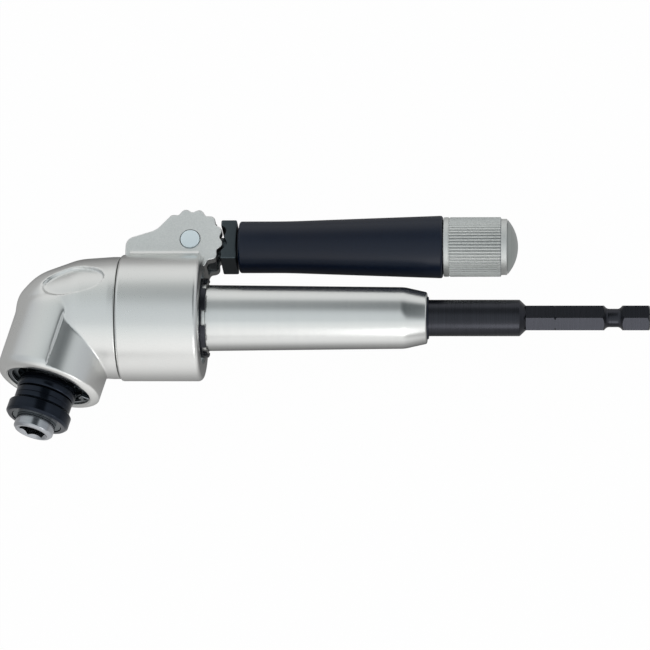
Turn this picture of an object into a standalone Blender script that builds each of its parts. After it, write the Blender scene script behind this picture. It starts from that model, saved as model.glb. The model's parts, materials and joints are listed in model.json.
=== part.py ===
"""Right angle attachment for a drill: a bevel gear head on a straight barrel, with a folding side handle.

The barrel's axis is X. The driver's end of the hex shank is at the origin and everything else lies at -X.
+Y points to the side handle and +Z is normal to the plane of both shafts. Units are metres.
"""

from math import acos, atan2, cos, pi, radians, sin, sqrt, tan

import bmesh
import bpy
from mathutils import Matrix, Vector

# Layout along the barrel, counted from the driver's end of the shank
HEX_LENGTH = 0.0318
SHAFT_CONE = 0.0016
SHAFT_EXPOSED = 0.0238
TUBE_LENGTH = 0.0566
NUT_PROUD = 0.0014
COLLAR_WIDTH = 0.0212
HEAD_REACH = 0.0129
HEAD_ANGLE = radians(105)

# Clearances
SEAM = 0.0002
SEAT = 0.0001
RUNNING = 0.00015
FACE_GAP = 0.0001
CUT_PAST = 0.0040
BEARING_SLIP = 0.00005

# Input shaft
HEX_FLATS = 0.00635
HEX_CLOCK = radians(112.5)
HEX_CHAMFER = 0.0007
DETENT_RADIUS = 0.002375
DETENT_CENTRE = 0.0094
DETENT_FLAT = 0.0032
DETENT_RUN = 0.0012
NOTCH_PLACE = 0.0243
NOTCH_DEPTH = 0.00035
SHAFT_RADIUS = 0.0047
SHAFT_SEAT_RADIUS = 0.00397
PINION_SEAT_RADIUS = 0.0030

# Barrel tube, its bush and the nut that holds the collar
TUBE_NOSE_RADIUS = 0.00665
TUBE_NOSE_ROUND = 0.0005
TUBE_CONE = 0.0058
TUBE_CONE_RADIUS = 0.00795
TUBE_END_RADIUS = 0.00855
TUBE_BORE_RADIUS = 0.0063
SPIGOT_RADIUS = 0.0079
BUSH_RADIUS = 0.0055
BUSH_LENGTH = 0.0115
BUSH_PROUD = 0.0004
NUT_RADIUS = 0.0103
NUT_WIDTH = 0.0020
NUT_SLOTS = 6
NUT_SLOT_WIDTH = 0.0042
NUT_SLOT_DEPTH = 0.0010
WASHER_WIDTH = 0.0012
WASHER_RADIUS = 0.0116

# Gear head
NECK_RADIUS = 0.0106
NECK_THREAD_RADIUS = 0.0093
FLANGE_RADIUS = 0.01585
FLANGE_WIDTH = 0.0019
FLANGE_ROUND = 0.0004
DOME_SHOULDER_RADIUS = 0.01525
DOME_SHOULDER_PLACE = 0.0022
DOME_BROW_RADIUS = 0.0114
DOME_BROW_PLACE = -0.0088
DOME_CROWN_RADIUS = 0.00565
DOME_REACH = 0.0143
DOME_ROUND = 0.0140
DOME_CROWN_ROUND = 0.0105
MOUTH_REACH = 0.0200
MOUTH_LIP = 0.0007
MOUTH_RADIUS = 0.0141
MOUTH_ROUND = 0.0025
ROOT_RADIUS = 0.0144
ROOT_PLACE = -0.0025
ROOT_ROUND = 0.0090
ROOT_DEPTH = 0.0100
MOUTH_CHAMFER = 0.0004
RELIEF_RADIUS = 0.01355
RELIEF_START = 0.0010
CAVITY_RADIUS = 0.0093
PINION_CAVITY_RADIUS = 0.0090
CAVITY_BEHIND = 0.0050
CAVITY_REAR_WALL = 0.0029
NECK_PASS_RADIUS = 0.0070
RECESS_LENGTH = 0.0160
RECESS_WIDTH = 0.0095
RECESS_DEPTH = 0.0007
RECESS_TURN = radians(19)
RECESS_SHIFT = 0.0005

# Bearings: a 608 carries the spindle and a 688 the input shaft
OUTPUT_BEARING_RADIUS = 0.0110
OUTPUT_BEARING_BORE = 0.0040
OUTPUT_BEARING_WIDTH = 0.0070
OUTPUT_BALL_RADIUS = 0.0019
OUTPUT_BALLS = 7
INPUT_BEARING_RADIUS = 0.0080
INPUT_BEARING_BORE = 0.0040
INPUT_BEARING_WIDTH = 0.0050
INPUT_BALL_RADIUS = 0.0010
INPUT_BALLS = 9
INPUT_BEARING_SETBACK = 0.0026
RACE_LIP_SHARE = 0.62
CAGE_WALL_SHARE = 0.22
CAGE_HEIGHT_SHARE = 0.75
CIRCLIP_WIDTH = 0.0008
CIRCLIP_BITE = 0.0006
CIRCLIP_RADIAL = 0.0015
CIRCLIP_LUG = 0.0013
CIRCLIP_GAP = radians(34)
CIRCLIP_LUG_SPAN = radians(15)
CIRCLIP_HOLE_RADIUS = 0.00055

# Bevel gears, both with the same teeth, on axes that cross at the head angle
GEAR_TEETH = 15
GEAR_RADIUS = 0.0080
GEAR_FACE = 0.0035
GEAR_PRESSURE_ANGLE = radians(20)
GEAR_ADDENDUM = 0.88
GEAR_DEDENDUM = 1.22
GEAR_BACKLASH = 0.00016
HUB_RADIUS = 0.0055
PINION_HUB_SETBACK = 0.0007
CROSS_PIN_RADIUS = 0.0010
CROSS_PIN_SETBACK = 0.0024
GEAR_SEAT_RADIUS = 0.0033
KEY_WIDTH = 0.0020
KEY_LENGTH = 0.0045
KEY_DEPTH = 0.0008
KEY_HEIGHT = 0.0014

# Output spindle, its bit socket and the release sleeve
NOSE_PROUD = 0.0033
NOSE_RADIUS = 0.0052
NOSE_CHAMFER = 0.0006
SPINDLE_TAIL = 0.0005
SOCKET_FLATS = 0.00645
SOCKET_DEPTH = 0.0125
SOCKET_CHAMFER = 0.0006
MAGNET_RADIUS = 0.0029
MAGNET_LENGTH = 0.0013
RING_RADIUS = 0.0077
RING_PROUD = 0.0024
RING_WIDTH = 0.0032
SLEEVE_FLANGE_WIDTH = 0.0038
SLEEVE_FLANGE_RADIUS = 0.0083
SLEEVE_FLANGE_CHAMFER = 0.0006
SLEEVE_NECK_RADIUS = 0.0074
SLEEVE_NECK_WIDTH = 0.0033
SLEEVE_GROOVE = 0.0003
SLEEVE_LAND_WIDTH = 0.0016
SLEEVE_CHAMBER_RADIUS = 0.0066
DETENT_BALL_RADIUS = 0.00125
STOP_RING_SETBACK = 0.0002
STOP_RING_WIDTH = 0.0006
CLIP_BITE = 0.0003
GEAR_CLIP_RADIUS = 0.0041
GEAR_CLIP_GAP = radians(70)
STOP_RING_GAP = radians(28)
SPRING_WIRE_RADIUS = 0.00025
SPRING_TURNS = 4
SPRING_POINTS = 8

# Swivel collar with its two ears
COLLAR_RADIUS = 0.0164
COLLAR_ROUND = 0.0013
HANDLE_OFFSET = 0.0200
PIN_SETBACK = 0.0038
EAR_HALF_WIDTH = 0.00545
EAR_ROOT = 0.0124
EAR_FILLET = 0.0025
SCALLOP_COUNT = 13
SCALLOP_TIP_RADIUS = 0.0086
SCALLOP_DEPTH = 0.00086
SCALLOP_FULLNESS = 0.09
SCALLOP_PHASE = radians(18.4)
SCALLOP_FIRST = -3
SCALLOP_LAST = 4
SHOULDER_HEIGHT = 0.0004
SHOULDER_LENGTH = 0.0168
SHOULDER_START = 0.0086
SHOULDER_RISE = 0.0014
SHOULDER_ROUND = 0.0026
SLOT_HALF_WIDTH = 0.0029

# Side handle: rod, lock block, grip and knob
PIN_RADIUS = 0.0025
PIN_PROUD = 0.0003
PIN_TAIL = 0.0012
PIN_CLIP_WIDTH = 0.0006
PIN_CLIP_RADIUS = 0.0034
PIN_CLIP_GAP = radians(80)
EYE_RADIUS = 0.0065
TONGUE_REACH = 0.0066
ROD_RADIUS = 0.0025
BLOCK_REACH = 0.0070
BLOCK_END = 0.0121
BLOCK_CHAMFER = 0.0004
MESH_CLEARANCE = 0.0002
LOCK_SPARE = 0.0001
GRIP_GAP = 0.0005
GRIP_LENGTH = 0.0530
GRIP_START_RADIUS = 0.00675
GRIP_END_RADIUS = 0.00815
GRIP_STRAIGHT = 0.0180
GRIP_ROUND = 0.0005
GRIP_PILOT_RADIUS = 0.0046
GRIP_WASHER_RADIUS = 0.0058
GRIP_WASHER_WIDTH = 0.0008
KNOB_BAND = 0.0015
KNOB_KNURL = 0.0135
KNOB_SHOULDER = 0.0015
KNOB_RADIUS = 0.00775
KNOB_SHOULDER_RADIUS = 0.0073
KNOB_FLUTES = 58
KNOB_FLUTE_DEPTH = 0.00025
KNOB_CHAMFER = 0.0002
CAP_HEIGHT = 0.0027
CAP_STEM_RADIUS = 0.0050
CAP_STEM_LENGTH = 0.0026
ROD_IN_KNOB = 0.0110

# Facets round a turned surface
FINE = 30
MEDIUM = 18
SMALL = 12
ARC_STEPS = 2
BALL_SEGMENTS = 8
BALL_RINGS = 4

# Finishes: linear colour, roughness, metallic
CAST_NICKEL = ((0.60, 0.61, 0.60), 0.34, 1.0)
SATIN_ALUMINIUM = ((0.66, 0.66, 0.65), 0.30, 1.0)
BLACK_STEEL = ((0.022, 0.021, 0.024), 0.36, 0.8)
BLACK_OXIDE = ((0.045, 0.038, 0.036), 0.30, 0.9)
BRIGHT_STEEL = ((0.62, 0.64, 0.66), 0.18, 1.0)
ZINC = ((0.68, 0.74, 0.78), 0.30, 1.0)
GEAR_STEEL = ((0.30, 0.30, 0.31), 0.28, 1.0)
BLACK_PLASTIC = ((0.020, 0.024, 0.030), 0.42, 0.0)
CAP_ALUMINIUM = ((0.26, 0.28, 0.26), 0.40, 1.0)
MAGNET_NICKEL = ((0.50, 0.49, 0.46), 0.22, 1.0)

# Stations that follow from the sizes above
HEX_ROOT = -HEX_LENGTH
SHAFT_START = HEX_ROOT - SHAFT_CONE
TUBE_NOSE = SHAFT_START - SHAFT_EXPOSED
NUT_REAR = TUBE_NOSE - TUBE_LENGTH
NUT_FRONT = NUT_REAR - NUT_WIDTH
COLLAR_REAR = NUT_REAR - NUT_PROUD
COLLAR_FRONT = COLLAR_REAR - COLLAR_WIDTH
HEAD_REAR = COLLAR_FRONT - SEAM
APEX = HEAD_REAR - HEAD_REACH
NECK_END = NUT_REAR - SEAM
WASHER_REAR = NUT_FRONT - FACE_GAP
WASHER_FRONT = WASHER_REAR - WASHER_WIDTH
NECK_SHOULDER = WASHER_FRONT - FACE_GAP
INPUT_BEARING_FRONT = HEAD_REAR + INPUT_BEARING_SETBACK
INPUT_BEARING_REAR = INPUT_BEARING_FRONT + INPUT_BEARING_WIDTH
CAVITY_REAR = HEAD_REAR - CAVITY_REAR_WALL
PIN_X = COLLAR_REAR - PIN_SETBACK
PIN_PLACE = Vector((PIN_X, HANDLE_OFFSET, 0))
LOCK_TRAVEL = SCALLOP_DEPTH + LOCK_SPARE
BLOCK_LEFT = PIN_X + BLOCK_REACH + LOCK_TRAVEL
BLOCK_RIGHT = PIN_X + BLOCK_END
GRIP_LEFT = BLOCK_RIGHT + GRIP_GAP
GRIP_RIGHT = GRIP_LEFT + GRIP_LENGTH
KNOB_LEFT = GRIP_RIGHT + SEAM
KNURL_LEFT = KNOB_LEFT + KNOB_BAND
KNURL_RIGHT = KNURL_LEFT + KNOB_KNURL
KNOB_RIGHT = KNURL_RIGHT + KNOB_SHOULDER
CAP_SEAT = KNOB_RIGHT - CAP_STEM_LENGTH
CIRCLIP_PLACE = MOUTH_REACH - MOUTH_LIP - CIRCLIP_WIDTH
BEARING_MOUTH = CIRCLIP_PLACE - SEAM
OUTPUT_BEARING_PLACE = BEARING_MOUTH - OUTPUT_BEARING_WIDTH
BEARING_SHOULDER = OUTPUT_BEARING_PLACE - FACE_GAP
RING_FRONT = MOUTH_REACH + RING_PROUD
SLEEVE_REAR = RING_FRONT + SEAM
SLEEVE_FRONT = SLEEVE_REAR + SLEEVE_NECK_WIDTH + SLEEVE_FLANGE_WIDTH
STOP_RING_FRONT = SLEEVE_FRONT - STOP_RING_SETBACK
NOSE_REACH = SLEEVE_FRONT + NOSE_PROUD
SOCKET_FLOOR = NOSE_REACH - SOCKET_DEPTH
MAGNET_FLOOR = SOCKET_FLOOR - MAGNET_LENGTH - FACE_GAP
GEAR_PITCH_ANGLE = HEAD_ANGLE / 2
GEAR_SLANT = GEAR_RADIUS / sin(GEAR_PITCH_ANGLE)
GEAR_MODULE = 2 * GEAR_RADIUS / GEAR_TEETH
GEAR_PITCH_PLACE = GEAR_SLANT * cos(GEAR_PITCH_ANGLE)
GEAR_TOE = (GEAR_SLANT - GEAR_FACE) / GEAR_SLANT
HUB_START = GEAR_PITCH_PLACE + GEAR_DEDENDUM * GEAR_MODULE * sin(GEAR_PITCH_ANGLE) + SEAM
GEAR_FRONT = GEAR_TOE * (GEAR_PITCH_PLACE - GEAR_ADDENDUM * GEAR_MODULE * sin(GEAR_PITCH_ANGLE))
GEAR_HUB_END = OUTPUT_BEARING_PLACE - SEAM
PINION_HUB_END = HEAD_REACH - PINION_HUB_SETBACK
BLOCK_HALF = EAR_HALF_WIDTH
SLEEVE_LAND_BORE = NOSE_RADIUS + RUNNING
MERGE = 1e-6
AXIS_MARK = 0.0100
FLAT_ANGLE = radians(0.3)


def clear_scene():
    """Removes whatever the scene holds."""
    for item in list(bpy.data.objects):
        bpy.data.objects.remove(item)


def new_collection(name):
    """A collection in the scene."""
    made = bpy.data.collections.new(name)
    bpy.context.scene.collection.children.link(made)
    return made


def axis_empty(name, place, along, across):
    """An empty whose local Z runs along an axis, with local X across it."""
    along, across = along.normalized(), across.normalized()
    turn = Matrix((across, along.cross(across), along)).transposed()
    empty = bpy.data.objects.new(name, None)
    empty.empty_display_size = AXIS_MARK
    empty.matrix_world = Matrix.Translation(place) @ turn.to_4x4()
    PARTS.objects.link(empty)
    return empty


def paint(piece, finish):
    """Gives a piece a material of its own."""
    colour, roughness, metallic = finish
    coat = bpy.data.materials.new(piece.name + "_finish")
    coat.use_nodes = True
    shader = coat.node_tree.nodes["Principled BSDF"]
    shader.inputs["Base Color"].default_value = (*colour, 1)
    shader.inputs["Roughness"].default_value = roughness
    shader.inputs["Metallic"].default_value = metallic
    coat.diffuse_color = (*colour, 1)
    piece.data.materials.clear()
    piece.data.materials.append(coat)


def place(name, mesh, axis, at=0.0):
    """An object for a mesh, on an axis empty and moved along it."""
    piece = bpy.data.objects.new(name, mesh)
    piece.parent = axis
    piece.location = (0, 0, at)
    PARTS.objects.link(piece)
    return piece


def as_tool(piece):
    """Turns a piece into a cutter or an added shape, which is no part of the object."""
    PARTS.objects.unlink(piece)
    TOOLS.objects.link(piece)
    piece.hide_render = True
    piece.display_type = "WIRE"
    return piece


def bake(piece):
    """Makes a piece's modifiers real and merges the slivers that a cut leaves."""
    bpy.context.view_layer.update()
    graph = bpy.context.evaluated_depsgraph_get()
    mesh = bpy.data.meshes.new_from_object(piece.evaluated_get(graph))
    mesh.name = piece.name
    piece.modifiers.clear()
    if piece.type == "MESH":
        piece.data = mesh
    work = bmesh.new()
    work.from_mesh(mesh)
    bmesh.ops.triangulate(work, faces=work.faces)
    bmesh.ops.remove_doubles(work, verts=work.verts, dist=MERGE)
    bmesh.ops.dissolve_degenerate(work, edges=work.edges, dist=MERGE)
    work.to_mesh(mesh)
    work.free()
    return mesh


def combine(piece, tool, operation):
    """Cuts a piece with a shape, or joins or limits it to one."""
    step = piece.modifiers.new(operation.lower(), "BOOLEAN")
    step.operation = operation
    step.solver = "EXACT"
    step.object = as_tool(tool)
    bake(piece)


def cut(piece, *tools):
    """Takes shapes away from a piece."""
    for tool in tools:
        combine(piece, tool, "DIFFERENCE")


def join(piece, *tools):
    """Adds shapes to a piece, as one solid."""
    for tool in tools:
        combine(piece, tool, "UNION")


def keep_inside(piece, tool):
    """Keeps only what lies inside a shape."""
    combine(piece, tool, "INTERSECT")


def settle(piece, finish, sharp=radians(32)):
    """Makes the modifiers real, shades the piece smooth between sharp edges and paints it."""
    mesh = bake(piece)
    work = bmesh.new()
    work.from_mesh(mesh)
    bmesh.ops.dissolve_limit(work, angle_limit=FLAT_ANGLE, verts=work.verts, edges=work.edges)
    bmesh.ops.triangulate(work, faces=work.faces)
    work.to_mesh(mesh)
    work.free()
    mesh.shade_smooth()
    mesh.set_sharp_from_angle(angle=sharp)
    paint(piece, finish)
    return piece


def rounded(corners, closed=False, steps=ARC_STEPS):
    """Points through corners (a, b, fillet), with an arc at each corner that has a fillet."""
    points = []
    count = len(corners)
    for index, corner in enumerate(corners):
        here = Vector(corner[:2])
        fillet = corner[2] if len(corner) > 2 else 0.0
        at_end = not closed and index in (0, count - 1)
        if fillet <= 0 or at_end:
            points.append(here)
            continue
        back = Vector(corners[index - 1][:2]) - here
        ahead = Vector(corners[(index + 1) % count][:2]) - here
        half = back.angle(ahead) / 2
        setback = min(fillet / tan(half), 0.48 * back.length, 0.48 * ahead.length)
        centre = here + (back.normalized() + ahead.normalized()).normalized() * setback / cos(half)
        first = here + back.normalized() * setback - centre
        last = here + ahead.normalized() * setback - centre
        sweep = first.angle_signed(last)
        for step in range(steps + 1):
            points.append(centre + Matrix.Rotation(-sweep * step / steps, 2) @ first)
    return points


def arc(centre, radius, start, end, steps):
    """Points on an arc, counted from one angle to another."""
    turns = [start + (end - start) * step / steps for step in range(steps + 1)]
    return [Vector((centre[0] + radius * cos(turn), centre[1] + radius * sin(turn))) for turn in turns]


def turned(name, profile, axis, steps=FINE, closed=False, at=0.0):
    """A turned shape: points (radius, height) down the outer side, and back up the bore of a ring."""
    mesh = bpy.data.meshes.new(name)
    edges = [(index, index + 1) for index in range(len(profile) - 1)]
    if closed:
        edges.append((len(profile) - 1, 0))
    mesh.from_pydata([(point[0], 0, point[1]) for point in profile], edges, [])
    piece = place(name, mesh, axis, at)
    screw = piece.modifiers.new("turn", "SCREW")
    screw.steps = screw.render_steps = steps
    screw.use_merge_vertices = True
    screw.merge_threshold = MERGE / 2
    return piece


def plate(name, outlines, low, high, axis):
    """A flat shape of one or more closed outlines, from one height to another along its axis."""
    curve = bpy.data.curves.new(name, "CURVE")
    curve.dimensions = "2D"
    curve.fill_mode = "BOTH"
    curve.extrude = (high - low) / 2
    for outline in outlines:
        spline = curve.splines.new("POLY")
        spline.points.add(len(outline) - 1)
        for point, target in zip(spline.points, outline):
            point.co = (target[0], target[1], 0, 1)
        spline.use_cyclic_u = True
    draft = bpy.data.objects.new(name + "_outline", curve)
    PARTS.objects.link(draft)
    graph = bpy.context.evaluated_depsgraph_get()
    mesh = bpy.data.meshes.new_from_object(draft.evaluated_get(graph))
    bpy.data.objects.remove(draft)
    work = bmesh.new()
    work.from_mesh(mesh)
    bmesh.ops.remove_doubles(work, verts=work.verts, dist=MERGE)
    bmesh.ops.recalc_face_normals(work, faces=work.faces)
    work.to_mesh(mesh)
    work.free()
    return place(name, mesh, axis, (low + high) / 2)


def prism(name, sides, radius, low, high, axis, clock=0.0):
    """A straight prism with regular sides, or a plain cylinder when the sides are many."""
    work = bmesh.new()
    turn = Matrix.Translation((0, 0, (low + high) / 2)) @ Matrix.Rotation(clock, 4, "Z")
    bmesh.ops.create_cone(work, cap_ends=True, segments=sides, radius1=radius, radius2=radius,
                          depth=high - low, matrix=turn)
    mesh = bpy.data.meshes.new(name)
    work.to_mesh(mesh)
    work.free()
    return place(name, mesh, axis)


def box(name, low, high, axis):
    """A box between two corners."""
    low, high = Vector(low), Vector(high)
    work = bmesh.new()
    size = Matrix.Diagonal((*(high - low), 1))
    bmesh.ops.create_cube(work, size=1, matrix=Matrix.Translation((low + high) / 2) @ size)
    mesh = bpy.data.meshes.new(name)
    work.to_mesh(mesh)
    work.free()
    return place(name, mesh, axis)


def cross_cylinder(name, radius, start, end, height, axis, turn=0.0):
    """A cylinder that crosses an axis at a height, from start to end along the turned local X."""
    work = bmesh.new()
    lay = Matrix.Rotation(turn, 4, "Z") @ Matrix.Translation(((start + end) / 2, 0, height))
    bmesh.ops.create_cone(work, cap_ends=True, segments=SMALL, radius1=radius, radius2=radius,
                          depth=end - start, matrix=lay @ Matrix.Rotation(pi / 2, 4, "Y"))
    mesh = bpy.data.meshes.new(name)
    work.to_mesh(mesh)
    work.free()
    return place(name, mesh, axis)


def zip_rings(work, lower, upper):
    """Triangles between two closed rings of points, which may have unlike counts."""
    step = rise = 0
    while step < len(lower) or rise < len(upper):
        ahead, above = lower[(step + 1) % len(lower)], upper[(rise + 1) % len(upper)]
        here, over = lower[step % len(lower)], upper[rise % len(upper)]
        if (step + 1) * len(upper) <= (rise + 1) * len(lower):
            work.faces.new((here, ahead, over))
            step += 1
        else:
            work.faces.new((here, above, over))
            rise += 1


def loft(name, rings, axis):
    """A skin through rings of points, closed from the last ring to the first."""
    work = bmesh.new()
    rows = [[work.verts.new(point) for point in ring] for ring in rings]
    for lower, upper in zip(rows, rows[1:] + rows[:1]):
        zip_rings(work, lower, upper)
    bmesh.ops.recalc_face_normals(work, faces=work.faces)
    mesh = bpy.data.meshes.new(name)
    work.to_mesh(mesh)
    work.free()
    return place(name, mesh, axis)


def ring_clip(name, inner, outer, low, high, axis, gap, turn=0.0, lug=0.0, lug_span=0.0, hole=0.0):
    """A spring clip cut open at one side, with an optional lug and hole beside each end."""
    start, end = turn + gap / 2, turn + 2 * pi - gap / 2
    steps = MEDIUM
    outside = arc((0, 0), outer, start, end, steps)
    inside = []
    for step in range(steps + 1):
        angle = end + (start - end) * step / steps
        near_end = min(angle - start, end - angle) < lug_span
        inside += arc((0, 0), inner - (lug if near_end else 0), angle, angle, 1)[:1]
    outlines = [outside + inside]
    for angle in ((start + lug_span / 2, end - lug_span / 2) if hole else ()):
        middle = (outer + inner - lug) / 2
        centre = (middle * cos(angle), middle * sin(angle))
        outlines.append(arc(centre, hole, 0, 2 * pi, SMALL // 2)[:-1])
    return plate(name, outlines, low, high, axis)


def gear_head():
    """The die-cast head: a neck that carries the collar, a dome over the gears and the output mouth."""
    dome = dome_line()
    outside = rounded([
        (0, NECK_END), (NECK_THREAD_RADIUS, NECK_END), (NECK_THREAD_RADIUS, NECK_SHOULDER),
        (NECK_RADIUS, NECK_SHOULDER), (NECK_RADIUS, HEAD_REAR), (FLANGE_RADIUS, HEAD_REAR, FLANGE_ROUND),
        dome[0]])
    head = turned("gear_housing", outside + dome[1:], BARREL)
    join(head, output_shell())
    for side in (1, -1):
        cut(head, thumb_recess(side))
    cut(head, barrel_bore(), output_bore())
    return settle(head, CAST_NICKEL, radians(28))


def dome_line(inset=0.0):
    """The dome from its flange to its crown, as points (radius, place), sunk evenly by an inset."""
    crown = APEX - DOME_REACH + inset
    return rounded([
        (FLANGE_RADIUS - inset, HEAD_REAR - FLANGE_WIDTH),
        (DOME_SHOULDER_RADIUS - inset, APEX + DOME_SHOULDER_PLACE, DOME_ROUND),
        (DOME_BROW_RADIUS - inset, APEX + DOME_BROW_PLACE, DOME_ROUND),
        (DOME_CROWN_RADIUS - inset, crown, DOME_CROWN_ROUND), (0, crown)], steps=3)


def output_shell():
    """The outside of the output mouth: a taper to a rounded rim, set back on the side of the barrel."""
    profile = rounded([
        (0, MOUTH_REACH), (MOUTH_RADIUS, MOUTH_REACH, MOUTH_ROUND), (ROOT_RADIUS, ROOT_PLACE, ROOT_ROUND),
        (0, -ROOT_DEPTH)], steps=3)
    shell = turned("mouth_shell", profile, OUTPUT)
    reach = 2 * FLANGE_RADIUS
    relief = box("mouth_relief", (RELIEF_START, -reach, -reach), (reach, reach, reach), OUTPUT)
    cut(relief, prism("relief_core", FINE, RELIEF_RADIUS, -2 * reach, 2 * reach, OUTPUT))
    cut(shell, relief)
    return shell


def thumb_recess(side):
    """The oval hollow on one side of the dome, of even depth under the dome's skin."""
    oval = []
    for step in range(FINE // 2):
        angle = 4 * pi * step / FINE
        oval.append((RECESS_LENGTH / 2 * cos(angle), RECESS_WIDTH / 2 * sin(angle)))
    turn = side * (pi / 2) - side * RECESS_TURN
    outward = Vector((0, cos(turn), sin(turn)))
    axis = axis_empty("recess_axis", Vector((APEX + RECESS_SHIFT, 0, 0)), outward, Vector((1, 0, 0)))
    hollow = plate("recess", [oval], FLANGE_RADIUS / 2, FLANGE_RADIUS + CUT_PAST, axis)
    skin = [Vector((0, HEAD_REAR)), Vector((FLANGE_RADIUS - RECESS_DEPTH, HEAD_REAR))]
    core = turned("recess_floor", skin + dome_line(RECESS_DEPTH), BARREL)
    cut(hollow, core)
    return hollow


def barrel_bore():
    """The bore from the neck into the gear cavity, with the input bearing's seat."""
    seat = INPUT_BEARING_RADIUS + BEARING_SLIP
    floor = INPUT_BEARING_FRONT - FACE_GAP
    front = APEX - CAVITY_BEHIND
    return turned("barrel_bore", [
        Vector(point) for point in (
            (0, NECK_END + CUT_PAST), (seat, NECK_END + CUT_PAST), (seat, floor),
            (NECK_PASS_RADIUS, floor), (NECK_PASS_RADIUS, CAVITY_REAR),
            (PINION_CAVITY_RADIUS, CAVITY_REAR), (PINION_CAVITY_RADIUS, front), (0, front))], BARREL)


def output_bore():
    """The mouth, the circlip's groove, the output bearing's seat and the gear cavity."""
    seat = OUTPUT_BEARING_RADIUS + BEARING_SLIP
    groove = seat + CIRCLIP_BITE
    groove_low, groove_high = CIRCLIP_PLACE - SEAT, CIRCLIP_PLACE + CIRCLIP_WIDTH + SEAT
    return turned("output_bore", [
        Vector(point) for point in (
            (0, MOUTH_REACH + CUT_PAST), (seat + MOUTH_CHAMFER, MOUTH_REACH + CUT_PAST),
            (seat + MOUTH_CHAMFER, MOUTH_REACH), (seat, MOUTH_REACH - MOUTH_CHAMFER),
            (seat, groove_high), (groove, groove_high), (groove, groove_low), (seat, groove_low),
            (seat, BEARING_SHOULDER), (CAVITY_RADIUS, BEARING_SHOULDER), (CAVITY_RADIUS, -CAVITY_BEHIND),
            (0, -CAVITY_BEHIND))], OUTPUT)


def barrel_tube():
    """The turned tube over the input shaft, with a spigot that holds the input bearing in the neck."""
    cone_end = TUBE_NOSE - TUBE_CONE
    shoulder = NUT_REAR - FACE_GAP
    spigot_end = INPUT_BEARING_REAR + FACE_GAP
    bush_floor = TUBE_NOSE - BUSH_LENGTH + BUSH_PROUD - FACE_GAP
    bush_bore = BUSH_RADIUS + SEAT
    profile = rounded([
        (TUBE_NOSE_RADIUS, TUBE_NOSE, TUBE_NOSE_ROUND), (TUBE_CONE_RADIUS, cone_end, 2 * TUBE_CONE),
        (TUBE_END_RADIUS, shoulder), (SPIGOT_RADIUS, shoulder), (SPIGOT_RADIUS, spigot_end),
        (TUBE_BORE_RADIUS, spigot_end), (TUBE_BORE_RADIUS, bush_floor), (bush_bore, bush_floor),
        (bush_bore, TUBE_NOSE)], closed=True)
    return settle(turned("barrel_tube", profile, BARREL, closed=True), SATIN_ALUMINIUM, radians(25))


def rear_bush():
    """The black plain bearing in the tube's nose."""
    bore = SHAFT_RADIUS + RUNNING
    rear = TUBE_NOSE + BUSH_PROUD
    profile = rounded([
        (BUSH_RADIUS, rear, BUSH_PROUD / 2), (BUSH_RADIUS, rear - BUSH_LENGTH),
        (bore, rear - BUSH_LENGTH), (bore, rear)], closed=True)
    return settle(turned("rear_bush", profile, BARREL, MEDIUM, closed=True), BLACK_PLASTIC)


def thrust_washer():
    """The washer between the neck's shoulder and the ring nut, which keeps the collar on."""
    bore = NECK_THREAD_RADIUS + SEAT
    profile = rounded([(WASHER_RADIUS, WASHER_REAR), (WASHER_RADIUS, WASHER_FRONT), (bore, WASHER_FRONT),
                       (bore, WASHER_REAR)])
    return settle(turned("thrust_washer", profile, BARREL, closed=True), BRIGHT_STEEL)


def ring_nut():
    """The black castellated nut at the end of the neck."""
    bore = NECK_THREAD_RADIUS + SEAT
    profile = rounded([(NUT_RADIUS, NUT_REAR, NUT_SLOT_DEPTH / 4), (NUT_RADIUS, NUT_FRONT),
                       (bore, NUT_FRONT), (bore, NUT_REAR)], closed=True)
    nut = turned("ring_nut", profile, BARREL, closed=True)
    for slot in range(NUT_SLOTS // 2):
        blade = box("nut_slot", (-2 * NUT_RADIUS, -NUT_SLOT_WIDTH / 2, NUT_REAR - NUT_SLOT_DEPTH),
                    (2 * NUT_RADIUS, NUT_SLOT_WIDTH / 2, NUT_REAR + NUT_WIDTH), BARREL)
        blade.rotation_euler.z = HEX_CLOCK + slot * 2 * pi / NUT_SLOTS
        cut(nut, blade)
    return settle(nut, BLACK_STEEL)


def chord_sag(radius, steps):
    """How far a faceted circle's flats lie inside the true circle."""
    return radius * (1 - cos(pi / steps))


def bearing_races(bore, outer, ball, low, width):
    """Profiles of an inner and an outer race round balls, each with its groove."""
    pitch = (bore + outer) / 2
    middle = low + width / 2
    groove = ball + BEARING_SLIP
    lip = ball * RACE_LIP_SHARE
    spread = sqrt(groove ** 2 - lip ** 2)
    swing = atan2(spread, lip)
    high = low + width
    sag = chord_sag(pitch + groove, FINE)
    outer_groove = arc((pitch + sag, middle), groove, -swing, swing, 4)
    inner_groove = arc((pitch, middle), groove, pi - swing, pi + swing, 4)
    around = [(outer, high), (outer, low), (pitch + lip, low)] + outer_groove + [(pitch + lip, high)]
    inside = [(pitch - lip, high)] + inner_groove + [(pitch - lip, low), (bore, low), (bore, high)]
    return [Vector(point) for point in around], [Vector(point) for point in inside]


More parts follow.
